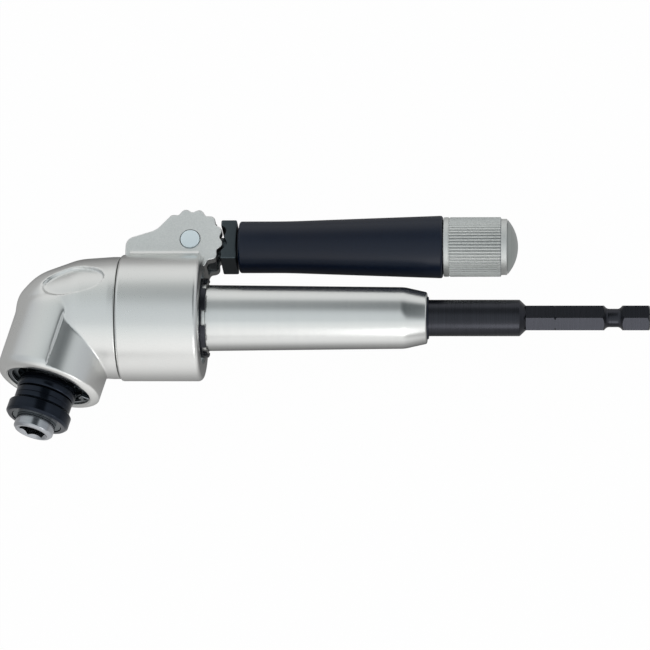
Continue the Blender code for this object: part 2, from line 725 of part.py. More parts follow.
def ball_cage(name, bore, outer, ball, count, low, width, axis):
    """A bearing's balls in their cage, one solid, because the cage is riveted round them."""
    pitch = (bore + outer) / 2
    middle = low + width / 2
    band = ball * CAGE_WALL_SHARE
    half = ball * CAGE_HEIGHT_SHARE
    ring = [(pitch + band, middle + half), (pitch + band, middle - half),
            (pitch - band, middle - half), (pitch - band, middle + half)]
    cage = turned(name, [Vector(point) for point in ring], axis, MEDIUM, closed=True)
    work = bmesh.new()
    for index in range(count):
        turn = Matrix.Rotation(2 * pi * index / count, 4, "Z")
        bmesh.ops.create_uvsphere(work, u_segments=BALL_SEGMENTS, v_segments=BALL_RINGS, radius=ball,
                                  matrix=turn @ Matrix.Translation((pitch, 0, middle)))
    mesh = bpy.data.meshes.new(name + "_balls")
    work.to_mesh(mesh)
    work.free()
    join(cage, place(name + "_balls", mesh, axis))
    return settle(cage, BRIGHT_STEEL)


def bearings():
    """Both ball bearings, each as two races and a cage with its balls."""
    low, width = OUTPUT_BEARING_PLACE, OUTPUT_BEARING_WIDTH
    sizes = (OUTPUT_BEARING_BORE + BEARING_SLIP / 2, OUTPUT_BEARING_RADIUS, OUTPUT_BALL_RADIUS)
    outer, inner = bearing_races(*sizes, low, width)
    settle(turned("output_bearing_outer", outer, OUTPUT, FINE, closed=True), BRIGHT_STEEL)
    settle(turned("output_bearing_inner", inner, OUTPUT, MEDIUM, closed=True), BRIGHT_STEEL)
    ball_cage("output_ball_cage", *sizes, OUTPUT_BALLS, low, width, OUTPUT)
    low, width = INPUT_BEARING_FRONT, INPUT_BEARING_WIDTH
    sizes = (INPUT_BEARING_BORE + BEARING_SLIP / 2, INPUT_BEARING_RADIUS, INPUT_BALL_RADIUS)
    outer, inner = bearing_races(*sizes, low, width)
    settle(turned("input_bearing_outer", outer, BARREL, FINE, closed=True), BRIGHT_STEEL)
    settle(turned("input_bearing_inner", inner, BARREL, MEDIUM, closed=True), BRIGHT_STEEL)
    ball_cage("input_ball_cage", *sizes, INPUT_BALLS, low, width, BARREL)


def mouth_circlip():
    """The internal circlip that holds the output bearing, with a plier hole in each lug."""
    outer = OUTPUT_BEARING_RADIUS + BEARING_SLIP + CIRCLIP_BITE - SEAT
    clip = ring_clip("mouth_circlip", outer - CIRCLIP_RADIAL, outer, CIRCLIP_PLACE,
                     CIRCLIP_PLACE + CIRCLIP_WIDTH, OUTPUT, CIRCLIP_GAP, 0, CIRCLIP_LUG,
                     CIRCLIP_LUG_SPAN, CIRCLIP_HOLE_RADIUS)
    return settle(clip, BLACK_STEEL)


def input_shaft():
    """The hex shank with its detent groove, the round shaft and the seats for bearing and pinion."""
    shoulder = INPUT_BEARING_REAR + FACE_GAP
    seat_end = APEX + PINION_HUB_END
    end = APEX + GEAR_FRONT + 2 * SEAM
    overlap = SHAFT_CONE / 4
    inscribed = HEX_FLATS / 2
    profile = rounded([
        (0, HEX_ROOT + overlap), (inscribed - overlap, HEX_ROOT + overlap), (SHAFT_RADIUS, SHAFT_START),
        (SHAFT_RADIUS, shoulder), (SHAFT_SEAT_RADIUS, shoulder), (SHAFT_SEAT_RADIUS, seat_end),
        (PINION_SEAT_RADIUS, seat_end), (PINION_SEAT_RADIUS, end), (0, end)])
    shaft = turned("input_shaft", profile, BARREL, MEDIUM)
    corner = inscribed / cos(pi / 6)
    shank = prism("shank", 6, corner, HEX_ROOT, 0, BARREL, HEX_CLOCK)
    around = corner + 2 * SEAM
    groove_front = -DETENT_CENTRE + DETENT_FLAT / 2
    groove_back = -DETENT_CENTRE - DETENT_FLAT / 2
    run = DETENT_RUN * (around - DETENT_RADIUS) / (corner - DETENT_RADIUS)
    notch = NOTCH_DEPTH + around - corner
    envelope = rounded([
        (0, 0), (corner - HEX_CHAMFER, 0), (around, -HEX_CHAMFER - 2 * SEAM),
        (around, groove_front + run), (DETENT_RADIUS, groove_front), (DETENT_RADIUS, groove_back),
        (around, groove_back - run), (around, -NOTCH_PLACE + notch), (around - notch, -NOTCH_PLACE),
        (around, -NOTCH_PLACE - notch), (around, HEX_ROOT - SEAM), (0, HEX_ROOT - SEAM)])
    keep_inside(shank, turned("shank_envelope", envelope, BARREL, MEDIUM))
    join(shaft, shank)
    pin_place = APEX + PINION_HUB_END - CROSS_PIN_SETBACK
    cut(shaft, cross_cylinder("pin_hole", CROSS_PIN_RADIUS + SEAT, -SHAFT_RADIUS * 2, SHAFT_RADIUS * 2,
                              pin_place, BARREL, HEX_CLOCK))
    return settle(shaft, BLACK_OXIDE, radians(25))


def involute(angle):
    """The involute function of a pressure angle."""
    return tan(angle) - angle


def gear_outline():
    """One gear's outline at the heel, on its back cone: (radius, angle, height from the apex).

    The teeth are involute on the back cone laid flat (Tredgold's way), with a space centred at angle 0.
    """
    slope = GEAR_PITCH_ANGLE
    flat_radius = GEAR_RADIUS / cos(slope)
    base = flat_radius * cos(GEAR_PRESSURE_ANGLE)
    tip = flat_radius + GEAR_ADDENDUM * GEAR_MODULE
    root = flat_radius - GEAR_DEDENDUM * GEAR_MODULE
    half_tooth = pi * GEAR_MODULE / 4 - GEAR_BACKLASH / 2
    flank = []
    for reach in (root, flat_radius, tip):
        pressure = acos(min(1.0, base / max(reach, base)))
        lean = half_tooth / flat_radius + involute(GEAR_PRESSURE_ANGLE) - involute(pressure)
        flank.append((reach, lean / cos(slope)))
    outline = []
    for tooth in range(GEAR_TEETH):
        middle = 2 * pi * (tooth + 0.5) / GEAR_TEETH
        side = [(reach, middle - lean) for reach, lean in flank]
        side += [(reach, middle + lean) for reach, lean in reversed(flank)]
        for reach, angle in side:
            outline.append((reach * cos(slope), angle, GEAR_SLANT / cos(slope) - reach * sin(slope)))
    return outline


def bevel_gear(name, axis, at, bore, hub_end, clock, tools):
    """A straight bevel gear: the heel's outline drawn in towards the apex, with a hub behind it."""
    outline = gear_outline()
    per_tooth = len(outline) // GEAR_TEETH
    roots = [point[1] for index, point in enumerate(outline) if index % per_tooth in (0, per_tooth - 1)]

    def ring(radius, height):
        return [(radius * cos(turn + clock), radius * sin(turn + clock), height + at) for turn in roots]

    heel, toe = [
        [(radius * scale * cos(angle + clock), radius * scale * sin(angle + clock), height * scale + at)
         for radius, angle, height in outline] for scale in (1, GEAR_TOE)]
    rings = [ring(bore, GEAR_FRONT), toe, heel, ring(HUB_RADIUS, HUB_START), ring(HUB_RADIUS, hub_end),
             ring(bore, hub_end)]
    gear = loft(name, rings, axis)
    cut(gear, *tools)
    return settle(gear, GEAR_STEEL, radians(20))


def gears():
    """The pinion on the input shaft and the gear on the spindle, in mesh where their pitch cones touch."""
    half_pitch = pi / GEAR_TEETH
    pin_place = APEX + PINION_HUB_END - CROSS_PIN_SETBACK
    pinion_hole = cross_cylinder("pinion_pin_hole", CROSS_PIN_RADIUS + SEAT, -2 * HUB_RADIUS, 2 * HUB_RADIUS,
                                 pin_place, BARREL, HEX_CLOCK)
    bevel_gear("input_pinion", BARREL, APEX, PINION_SEAT_RADIUS + SEAT, PINION_HUB_END, pi + half_pitch,
               [pinion_hole])
    pin = cross_cylinder("pinion_pin", CROSS_PIN_RADIUS, -HUB_RADIUS + SEAM, HUB_RADIUS - SEAM, pin_place,
                         BARREL, HEX_CLOCK)
    settle(pin, BRIGHT_STEEL)
    half_width = KEY_WIDTH / 2 + SEAT
    keyway = box("gear_keyway", (0, -half_width, GEAR_FRONT - GEAR_FACE),
                 (GEAR_SEAT_RADIUS - KEY_DEPTH + KEY_HEIGHT + SEAT, half_width, NOSE_REACH), OUTPUT)
    bevel_gear("output_gear", OUTPUT, 0, GEAR_SEAT_RADIUS + SEAT, GEAR_HUB_END, 0, [keyway])


def gear_key():
    """The parallel key between spindle and gear."""
    low = GEAR_SEAT_RADIUS - KEY_DEPTH
    middle = (GEAR_FRONT + GEAR_HUB_END) / 2
    key = box("gear_key", (low, -KEY_WIDTH / 2, middle - KEY_LENGTH / 2),
              (low + KEY_HEIGHT, KEY_WIDTH / 2, middle + KEY_LENGTH / 2), OUTPUT)
    return settle(key, GEAR_STEEL)


def input_spacer():
    """The sleeve between the input bearing's inner race and the pinion's hub."""
    bore = SHAFT_SEAT_RADIUS + SEAT
    high, low = INPUT_BEARING_FRONT - FACE_GAP, APEX + PINION_HUB_END + FACE_GAP
    profile = rounded([(HUB_RADIUS, high), (HUB_RADIUS, low), (bore, low), (bore, high)])
    return settle(turned("input_spacer", profile, BARREL, MEDIUM, closed=True), GEAR_STEEL)


def output_spindle():
    """The spindle: bit socket and nose in front, then the seats for its bearing and gear."""
    shoulder = BEARING_MOUTH + FACE_GAP
    gear_seat_start = GEAR_HUB_END + FACE_GAP
    clip_high = GEAR_FRONT - FACE_GAP
    clip_low = clip_high - PIN_CLIP_WIDTH - FACE_GAP
    clip_root = GEAR_SEAT_RADIUS - CLIP_BITE
    stop_high = STOP_RING_FRONT + SEAT
    stop_low = STOP_RING_FRONT - STOP_RING_WIDTH - SEAT
    stop_root = NOSE_RADIUS - CLIP_BITE
    profile = rounded([
        (0, NOSE_REACH), (NOSE_RADIUS - NOSE_CHAMFER, NOSE_REACH), (NOSE_RADIUS, NOSE_REACH - NOSE_CHAMFER),
        (NOSE_RADIUS, stop_high), (stop_root, stop_high), (stop_root, stop_low), (NOSE_RADIUS, stop_low),
        (NOSE_RADIUS, shoulder), (OUTPUT_BEARING_BORE - BEARING_SLIP, shoulder),
        (OUTPUT_BEARING_BORE - BEARING_SLIP, gear_seat_start), (GEAR_SEAT_RADIUS, gear_seat_start),
        (GEAR_SEAT_RADIUS, clip_high), (clip_root, clip_high), (clip_root, clip_low),
        (GEAR_SEAT_RADIUS, clip_low), (GEAR_SEAT_RADIUS, clip_low - SPINDLE_TAIL),
        (0, clip_low - SPINDLE_TAIL)])
    spindle = turned("output_spindle", profile, OUTPUT, MEDIUM)
    corner = SOCKET_FLATS / 2 / cos(pi / 6)
    socket = prism("socket", 6, corner, SOCKET_FLOOR, NOSE_REACH + CUT_PAST, OUTPUT, pi / 2)
    mouth = turned("socket_mouth", rounded([
        (0, NOSE_REACH + SOCKET_CHAMFER), (corner + 2 * SOCKET_CHAMFER, NOSE_REACH + SOCKET_CHAMFER),
        (corner - SOCKET_CHAMFER, NOSE_REACH - SOCKET_CHAMFER),
        (0, NOSE_REACH - SOCKET_CHAMFER)]), OUTPUT, MEDIUM)
    magnet_pocket = prism("magnet_pocket", MEDIUM, MAGNET_RADIUS + SEAT, MAGNET_FLOOR,
                          SOCKET_FLOOR + SEAM, OUTPUT)
    ball_hole = cross_cylinder("ball_hole", DETENT_BALL_RADIUS + BEARING_SLIP, 0, NOSE_RADIUS + CUT_PAST,
                               detent_place(), OUTPUT)
    low = GEAR_SEAT_RADIUS - KEY_DEPTH - SEAT
    middle = (GEAR_FRONT + GEAR_HUB_END) / 2
    half = KEY_LENGTH / 2 + SEAT
    keyway = box("spindle_keyway", (low, -KEY_WIDTH / 2 - SEAT, middle - half),
                 (2 * GEAR_SEAT_RADIUS, KEY_WIDTH / 2 + SEAT, middle + half), OUTPUT)
    cut(spindle, socket, mouth, magnet_pocket, ball_hole, keyway)
    return settle(spindle, BRIGHT_STEEL, radians(25))


def detent_place():
    """The height of the detent ball, under the middle of the sleeve's land."""
    return SLEEVE_REAR + SLEEVE_LAND_WIDTH / 2


def spindle_pieces():
    """What the spindle carries: gear clip, magnet, detent ball, dust ring and sleeve stop."""
    clip_high = GEAR_FRONT - FACE_GAP - FACE_GAP / 2
    clip_low = clip_high - PIN_CLIP_WIDTH
    clip = ring_clip("gear_clip", GEAR_SEAT_RADIUS - CLIP_BITE + SEAT, GEAR_CLIP_RADIUS,
                     clip_low, clip_high, OUTPUT, GEAR_CLIP_GAP, pi / 2)
    settle(clip, BLACK_STEEL)
    magnet_low = SOCKET_FLOOR - MAGNET_LENGTH
    magnet = prism("socket_magnet", MEDIUM, MAGNET_RADIUS, magnet_low, SOCKET_FLOOR, OUTPUT)
    settle(magnet, MAGNET_NICKEL)
    work = bmesh.new()
    reach = SLEEVE_LAND_BORE - DETENT_BALL_RADIUS - BEARING_SLIP
    bmesh.ops.create_uvsphere(work, u_segments=12, v_segments=7, radius=DETENT_BALL_RADIUS,
                              matrix=Matrix.Translation((reach, 0, detent_place())))
    mesh = bpy.data.meshes.new("detent_ball")
    work.to_mesh(mesh)
    work.free()
    settle(place("detent_ball", mesh, OUTPUT), BRIGHT_STEEL)
    bore = NOSE_RADIUS + SEAT
    profile = rounded([(RING_RADIUS, RING_FRONT, 2 * SLEEVE_GROOVE), (RING_RADIUS, RING_FRONT - RING_WIDTH),
                       (bore, RING_FRONT - RING_WIDTH), (bore, RING_FRONT)], closed=True)
    settle(turned("spindle_ring", profile, OUTPUT, closed=True), BLACK_STEEL)
    stop = ring_clip("sleeve_stop_ring", NOSE_RADIUS - CLIP_BITE + SEAT, SLEEVE_CHAMBER_RADIUS - RUNNING,
                     STOP_RING_FRONT - STOP_RING_WIDTH, STOP_RING_FRONT, OUTPUT, STOP_RING_GAP, -pi / 2)
    settle(stop, BLACK_STEEL)


def release_sleeve():
    """The sleeve that is pulled forward to free the bit, with a land over the detent ball."""
    flange_rear = SLEEVE_FRONT - SLEEVE_FLANGE_WIDTH
    neck_rear = SLEEVE_REAR
    fine = neck_rear + SLEEVE_NECK_WIDTH / 2
    chamfer = SLEEVE_FLANGE_CHAMFER
    groove = SLEEVE_GROOVE
    profile = rounded([
        (SLEEVE_FLANGE_RADIUS - chamfer, SLEEVE_FRONT), (SLEEVE_FLANGE_RADIUS, SLEEVE_FRONT - chamfer),
        (SLEEVE_FLANGE_RADIUS, flange_rear + chamfer), (SLEEVE_FLANGE_RADIUS - chamfer, flange_rear),
        (SLEEVE_NECK_RADIUS - groove, flange_rear), (SLEEVE_NECK_RADIUS - groove, flange_rear - groove),
        (SLEEVE_NECK_RADIUS, flange_rear - groove), (SLEEVE_NECK_RADIUS, fine + groove / 2),
        (SLEEVE_NECK_RADIUS - groove / 2, fine), (SLEEVE_NECK_RADIUS, fine - groove / 2),
        (SLEEVE_NECK_RADIUS, neck_rear), (SLEEVE_LAND_BORE, neck_rear),
        (SLEEVE_LAND_BORE, neck_rear + SLEEVE_LAND_WIDTH),
        (SLEEVE_CHAMBER_RADIUS, neck_rear + SLEEVE_LAND_WIDTH),
        (SLEEVE_CHAMBER_RADIUS, SLEEVE_FRONT)])
    return settle(turned("release_sleeve", profile, OUTPUT, closed=True), BLACK_STEEL, radians(25))


def sleeve_spring():
    """The coil between the sleeve's land and the stop ring."""
    low = SLEEVE_REAR + SLEEVE_LAND_WIDTH + SPRING_WIRE_RADIUS + SEAT
    high = STOP_RING_FRONT - STOP_RING_WIDTH - SPRING_WIRE_RADIUS - SEAT
    coil = (NOSE_RADIUS + SLEEVE_CHAMBER_RADIUS) / 2
    curve = bpy.data.curves.new("sleeve_spring", "CURVE")
    curve.dimensions = "3D"
    curve.bevel_depth = SPRING_WIRE_RADIUS
    curve.bevel_resolution = 1
    curve.use_fill_caps = True
    spline = curve.splines.new("POLY")
    count = SPRING_TURNS * SPRING_POINTS
    spline.points.add(count)
    for index, point in enumerate(spline.points):
        angle = 2 * pi * index / SPRING_POINTS
        height = low + (high - low) * index / count
        point.co = (coil * cos(angle), coil * sin(angle), height, 1)
    path = place("spring_path", curve, OUTPUT)
    mesh = bake(path)
    bpy.data.objects.remove(path)
    return settle(place("sleeve_spring", mesh, OUTPUT), BRIGHT_STEEL)


def scallops(extra=0.0, first=None, last=None):
    """Points of the ears' lobed edge round the pin, between two lobe numbers or all the way round."""
    steps = 5
    middle = SCALLOP_TIP_RADIUS - SCALLOP_DEPTH / 2
    whole = first is None
    first, last = (0, SCALLOP_COUNT) if whole else (first, last)
    points = []
    for step in range(steps * first, steps * last + (0 if whole else 1)):
        phase = 2 * pi * step / steps
        swell = cos(phase) + SCALLOP_FULLNESS * (1 - cos(2 * phase))
        angle = SCALLOP_PHASE + phase / SCALLOP_COUNT
        radius = middle + SCALLOP_DEPTH / 2 * swell + extra
        points.append(Vector((radius * cos(angle), radius * sin(angle))))
    return points


def ear_outline():
    """The ears' outline round the pin: lobes, then the shoulder down to the collar's front edge."""
    root = EAR_ROOT - HANDLE_OFFSET
    shoulder = rounded([
        scallops(0, SCALLOP_LAST, SCALLOP_LAST)[0], (-SHOULDER_START, SHOULDER_RISE, SHOULDER_ROUND),
        (-SHOULDER_LENGTH, SHOULDER_HEIGHT, SHOULDER_ROUND), (-SHOULDER_LENGTH, root),
        (PIN_SETBACK - SEAM, root)])
    return scallops(0, SCALLOP_FIRST, SCALLOP_LAST) + shoulder[1:]


def swivel_collar():
    """The collar that turns on the neck, with two scalloped ears for the handle."""
    bore = NECK_RADIUS + RUNNING
    counterbore = WASHER_RADIUS + SEAM
    floor = WASHER_FRONT - FACE_GAP
    profile = rounded([
        (COLLAR_RADIUS, COLLAR_REAR, COLLAR_ROUND), (COLLAR_RADIUS, COLLAR_FRONT, COLLAR_ROUND / 2),
        (bore, COLLAR_FRONT), (bore, floor), (counterbore, floor), (counterbore, COLLAR_REAR)], closed=True)
    collar = turned("swivel_collar", profile, BARREL, FINE, closed=True)
    ears = plate("ears", [ear_outline()], -EAR_HALF_WIDTH, EAR_HALF_WIDTH, PIVOT)
    join(collar, ears, ear_saddle())
    reach = EYE_RADIUS + 2 * SEAM
    slot = rounded([
        (2 * EYE_RADIUS, -reach), (-reach, -reach, EYE_RADIUS), (-reach, 2 * EYE_RADIUS),
        (2 * EYE_RADIUS, 2 * EYE_RADIUS)], steps=10)
    cut(collar, plate("clevis_slot", [slot], -SLOT_HALF_WIDTH, SLOT_HALF_WIDTH, PIVOT),
        prism("ear_hole", SMALL, PIN_RADIUS + SEAT, -2 * EAR_HALF_WIDTH, 2 * EAR_HALF_WIDTH, PIVOT))
    return settle(collar, CAST_NICKEL, radians(28))


def ear_saddle():
    """The filleted foot that blends the ears into the collar, drawn across the barrel's axis."""
    height = EAR_HALF_WIDTH + EAR_FILLET
    span = COLLAR_RADIUS + EAR_FILLET
    level = sqrt(span ** 2 - height ** 2)
    lean = atan2(height, level)
    right = arc((level, height), EAR_FILLET, pi + lean, 3 * pi / 2, 5)
    foot = [Vector((EAR_ROOT, EAR_ROOT * tan(lean)))] + right
    mirror = [Vector((point.x, -point.y)) for point in reversed(foot)]
    front = PIN_X - SHOULDER_LENGTH + SHOULDER_ROUND / 2
    return plate("ear_saddle", [foot + mirror], front, COLLAR_REAR - COLLAR_ROUND, BARREL)


def pivot_pin():
    """The pin through the ears and the rod's eye, with a groove for its clip."""
    high = EAR_HALF_WIDTH + PIN_PROUD
    groove_high = -EAR_HALF_WIDTH - FACE_GAP
    groove_low = groove_high - PIN_CLIP_WIDTH - FACE_GAP
    root = PIN_RADIUS - CLIP_BITE
    low = -EAR_HALF_WIDTH - PIN_TAIL
    profile = rounded([
        (0, high), (PIN_RADIUS, high, PIN_PROUD / 2), (PIN_RADIUS, groove_high), (root, groove_high),
        (root, groove_low), (PIN_RADIUS, groove_low), (PIN_RADIUS, low), (0, low)])
    settle(turned("pivot_pin", profile, PIVOT, SMALL), ZINC)
    clip_high = groove_high - FACE_GAP / 2
    clip = ring_clip("pin_clip", root + SEAT, PIN_CLIP_RADIUS, clip_high - PIN_CLIP_WIDTH, clip_high, PIVOT,
                     PIN_CLIP_GAP, pi / 2)
    settle(clip, BLACK_STEEL)


def handle_rod():
    """The handle's rod: a flat eye between the ears and a round rod through grip and knob."""
    start = atan2(BLOCK_HALF, sqrt(EYE_RADIUS ** 2 - BLOCK_HALF ** 2))
    eye = arc((0, 0), EYE_RADIUS, start, 2 * pi - start, 22)
    tongue = [Vector((TONGUE_REACH, -BLOCK_HALF)), Vector((TONGUE_REACH, BLOCK_HALF))]
    half = SLOT_HALF_WIDTH - RUNNING
    rod = plate("handle_rod", [eye + tongue], -half, half, PIVOT)
    stem = prism("rod_stem", MEDIUM, ROD_RADIUS, PIN_X + TONGUE_REACH / 2, KNOB_LEFT + ROD_IN_KNOB, HANDLE)
    join(rod, stem)
    cut(rod, prism("eye_hole", SMALL, PIN_RADIUS + RUNNING, -2 * half, 2 * half, PIVOT))
    return settle(rod, BLACK_STEEL)


def lock_block():
    """The square block that slides on the rod, with a hollow face that meshes with the ears' lobes."""
    work = bmesh.new()
    size = Matrix.Diagonal((2 * BLOCK_HALF, 2 * BLOCK_HALF, BLOCK_RIGHT - BLOCK_LEFT, 1))
    middle = Matrix.Translation((0, 0, (BLOCK_LEFT + BLOCK_RIGHT) / 2))
    bmesh.ops.create_cube(work, size=1, matrix=middle @ size)
    bmesh.ops.bevel(work, geom=work.edges, offset=BLOCK_CHAMFER, segments=1, affect="EDGES")
    mesh = bpy.data.meshes.new("lock_block")
    work.to_mesh(mesh)
    work.free()
    block = place("lock_block", mesh, HANDLE)
    teeth = plate("block_teeth", [scallops(MESH_CLEARANCE)], -2 * BLOCK_HALF, 2 * BLOCK_HALF, PIVOT)
    teeth.location.x = LOCK_TRAVEL
    cut(block, teeth, prism("block_bore", MEDIUM, ROD_RADIUS + RUNNING, BLOCK_LEFT - EYE_RADIUS,
                            BLOCK_RIGHT + EYE_RADIUS, HANDLE))
    return settle(block, BLACK_STEEL)


def grip():
    """The tapered grip, with a pilot against the lock block and a pocket for the knob's washer."""
    bore = ROD_RADIUS + RUNNING
    pocket = GRIP_WASHER_RADIUS + SEAM
    pocket_floor = GRIP_RIGHT - GRIP_WASHER_WIDTH - 2 * FACE_GAP
    straight = GRIP_LEFT + GRIP_STRAIGHT
    profile = rounded([
        (GRIP_END_RADIUS, GRIP_RIGHT, GRIP_ROUND), (GRIP_START_RADIUS, straight, GRIP_LENGTH / 2),
        (GRIP_START_RADIUS, GRIP_LEFT, GRIP_ROUND), (GRIP_PILOT_RADIUS, GRIP_LEFT),
        (GRIP_PILOT_RADIUS, BLOCK_RIGHT + FACE_GAP), (bore, BLOCK_RIGHT + FACE_GAP), (bore, pocket_floor),
        (pocket, pocket_floor), (pocket, GRIP_RIGHT)], closed=True)
    settle(turned("grip", profile, HANDLE, FINE, closed=True), BLACK_PLASTIC, radians(25))
    high = GRIP_RIGHT - FACE_GAP
    low = high - GRIP_WASHER_WIDTH
    washer = rounded([(GRIP_WASHER_RADIUS, high), (GRIP_WASHER_RADIUS, low), (bore, low), (bore, high)])
    settle(turned("grip_washer", washer, HANDLE, MEDIUM, closed=True), BRIGHT_STEEL)


def knob():
    """The fluted knob that screws along the rod and pushes the grip, and the domed cap in its end."""
    def ring(radius, height, count=FINE, flute=0.0):
        points = []
        for index in range(count):
            angle = 2 * pi * index / count
            reach = radius - (flute if index % 2 else 0)
            points.append((reach * cos(angle), reach * sin(angle), height))
        return points

    bore = ROD_RADIUS + SEAT
    seat = CAP_STEM_RADIUS + SEAT
    bevel = KNOB_CHAMFER
    flutes = 2 * KNOB_FLUTES, KNOB_FLUTE_DEPTH
    rings = [
        ring(bore, KNOB_LEFT, MEDIUM), ring(KNOB_RADIUS - bevel, KNOB_LEFT),
        ring(KNOB_RADIUS, KNOB_LEFT + bevel), ring(KNOB_RADIUS, KNURL_LEFT),
        ring(KNOB_RADIUS, KNURL_LEFT + bevel, *flutes), ring(KNOB_RADIUS, KNURL_RIGHT - bevel, *flutes),
        ring(KNOB_SHOULDER_RADIUS, KNURL_RIGHT), ring(KNOB_SHOULDER_RADIUS, KNOB_RIGHT),
        ring(seat, KNOB_RIGHT, MEDIUM), ring(seat, CAP_SEAT, MEDIUM), ring(bore, CAP_SEAT, MEDIUM)]
    settle(loft("knurled_knob", rings, HANDLE), SATIN_ALUMINIUM, radians(20))
    rim = KNOB_SHOULDER_RADIUS - bevel
    base = KNOB_RIGHT + FACE_GAP
    bow = (rim ** 2 + CAP_HEIGHT ** 2) / (2 * CAP_HEIGHT)
    swing = atan2(rim, bow - CAP_HEIGHT)
    crown = [Vector((point.y, point.x)) for point in arc((base + CAP_HEIGHT - bow, 0), bow, 0, swing, 5)]
    crown[0].x = 0
    stem = [Vector((CAP_STEM_RADIUS, base)), Vector((CAP_STEM_RADIUS, CAP_SEAT + FACE_GAP)),
            Vector((0, CAP_SEAT + FACE_GAP))]
    settle(turned("knob_cap", crown + stem, HANDLE, MEDIUM), CAP_ALUMINIUM)


clear_scene()
PARTS = new_collection("right_angle_attachment")
TOOLS = new_collection("cutters")
OUTPUT_WAY = Vector((cos(HEAD_ANGLE), -sin(HEAD_ANGLE), 0))
OUTPUT_SIDE = Vector((sin(HEAD_ANGLE), cos(HEAD_ANGLE), 0))
BARREL = axis_empty("barrel_axis", Vector(), Vector((1, 0, 0)), Vector((0, 1, 0)))
OUTPUT = axis_empty("output_axis", Vector((APEX, 0, 0)), OUTPUT_WAY, OUTPUT_SIDE)
HANDLE = axis_empty("handle_axis", Vector((0, HANDLE_OFFSET, 0)), Vector((1, 0, 0)), Vector((0, 1, 0)))
PIVOT = axis_empty("pivot_axis", PIN_PLACE, Vector((0, 0, 1)), Vector((1, 0, 0)))

gear_head()
barrel_tube()
rear_bush()
thrust_washer()
ring_nut()
bearings()
mouth_circlip()
input_shaft()
gears()
gear_key()
input_spacer()
output_spindle()
spindle_pieces()
release_sleeve()
sleeve_spring()
swivel_collar()
pivot_pin()
handle_rod()
lock_block()
grip()
knob()
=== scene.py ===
# %% [markdown]
# # Right angle attachment
# A drill drives the black hex shank on the right, and bevel gears in the cast head turn the socket at the
# lower left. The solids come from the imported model, which already has every size and place. This script gives
# them their finish: it draws each piece that shows again, with finer curves, and keeps the hidden pieces. The
# barrel runs along X, the side handle lies at +Y, and Z is normal to both shafts. Lengths are in metres.

# %% Load the frame
import json
from math import atan2, cos, hypot, pi, radians, sin, sqrt, tan

import bpy
from mathutils import Matrix, Vector


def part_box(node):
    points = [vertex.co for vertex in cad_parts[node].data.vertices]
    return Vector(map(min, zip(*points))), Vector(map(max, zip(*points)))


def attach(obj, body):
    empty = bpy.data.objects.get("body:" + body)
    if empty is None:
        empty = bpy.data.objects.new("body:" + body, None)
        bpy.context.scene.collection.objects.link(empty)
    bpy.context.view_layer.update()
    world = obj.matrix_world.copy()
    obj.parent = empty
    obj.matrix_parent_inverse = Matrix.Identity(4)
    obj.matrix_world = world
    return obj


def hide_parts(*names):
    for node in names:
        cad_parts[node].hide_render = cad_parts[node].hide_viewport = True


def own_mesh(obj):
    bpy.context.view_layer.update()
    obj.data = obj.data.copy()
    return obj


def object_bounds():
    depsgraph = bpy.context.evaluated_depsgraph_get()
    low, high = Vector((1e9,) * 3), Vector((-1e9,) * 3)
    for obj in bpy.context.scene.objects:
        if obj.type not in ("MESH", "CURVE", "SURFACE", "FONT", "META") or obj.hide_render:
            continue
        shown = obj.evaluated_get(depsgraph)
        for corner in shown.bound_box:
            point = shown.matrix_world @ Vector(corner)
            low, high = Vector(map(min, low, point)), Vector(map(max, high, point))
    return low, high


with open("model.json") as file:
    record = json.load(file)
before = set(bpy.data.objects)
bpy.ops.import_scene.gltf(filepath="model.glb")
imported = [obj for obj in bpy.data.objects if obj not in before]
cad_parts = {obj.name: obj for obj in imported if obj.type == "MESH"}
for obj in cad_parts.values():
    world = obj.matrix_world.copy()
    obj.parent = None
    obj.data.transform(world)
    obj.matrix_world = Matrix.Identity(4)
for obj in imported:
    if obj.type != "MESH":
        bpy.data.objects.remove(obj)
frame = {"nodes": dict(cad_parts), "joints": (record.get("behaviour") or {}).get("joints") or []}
CAD_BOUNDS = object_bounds()
JOINTS = {joint["name"]: joint for joint in frame["joints"]}
MM = 0.001
print("frame:", len(frame["nodes"]), "pieces, from", [round(value / MM, 1) for value in CAD_BOUNDS[0]])

# %% [markdown]
# ## The axes
# Four axes carry everything. The barrel's is X itself. The output shaft's axis and the pivot of the handle
# come from the frame's joints, so that nothing has to be measured twice. A piece is drawn standing on its own
# turning axis, Z, and is then laid on the real one.

# %% Axes of the barrel, the output shaft, the handle and the pivot
APEX = Vector(JOINTS["output_spin"]["pos_m"])
OUTPUT_WAY = Vector(JOINTS["output_spin"]["axis"]).normalized()
PIVOT_PLACE = Vector(JOINTS["handle_fold"]["pos_m"])


def axis_at(place, along, across):
    """The move from a piece's own frame, which turns about Z, to an axis of the object."""
    turn = Matrix((across, along.cross(across), along)).transposed()
    return Matrix.Translation(place) @ turn.to_4x4()


X_WAY, Y_WAY, Z_WAY = Vector((1, 0, 0)), Vector((0, 1, 0)), Vector((0, 0, 1))
OUTPUT_SIDE = Vector((-OUTPUT_WAY.y, OUTPUT_WAY.x, 0))
BARREL = axis_at(Vector(), X_WAY, Y_WAY)
HANDLE = axis_at(Vector((0, PIVOT_PLACE.y, 0)), X_WAY, Y_WAY)
PIVOT = axis_at(PIVOT_PLACE, Z_WAY, X_WAY)
OUTPUT = axis_at(APEX, OUTPUT_WAY, OUTPUT_SIDE)
print("output axis:", [round(value, 4) for value in OUTPUT_WAY])
print("pivot at:", [round(value, 4) for value in PIVOT_PLACE])

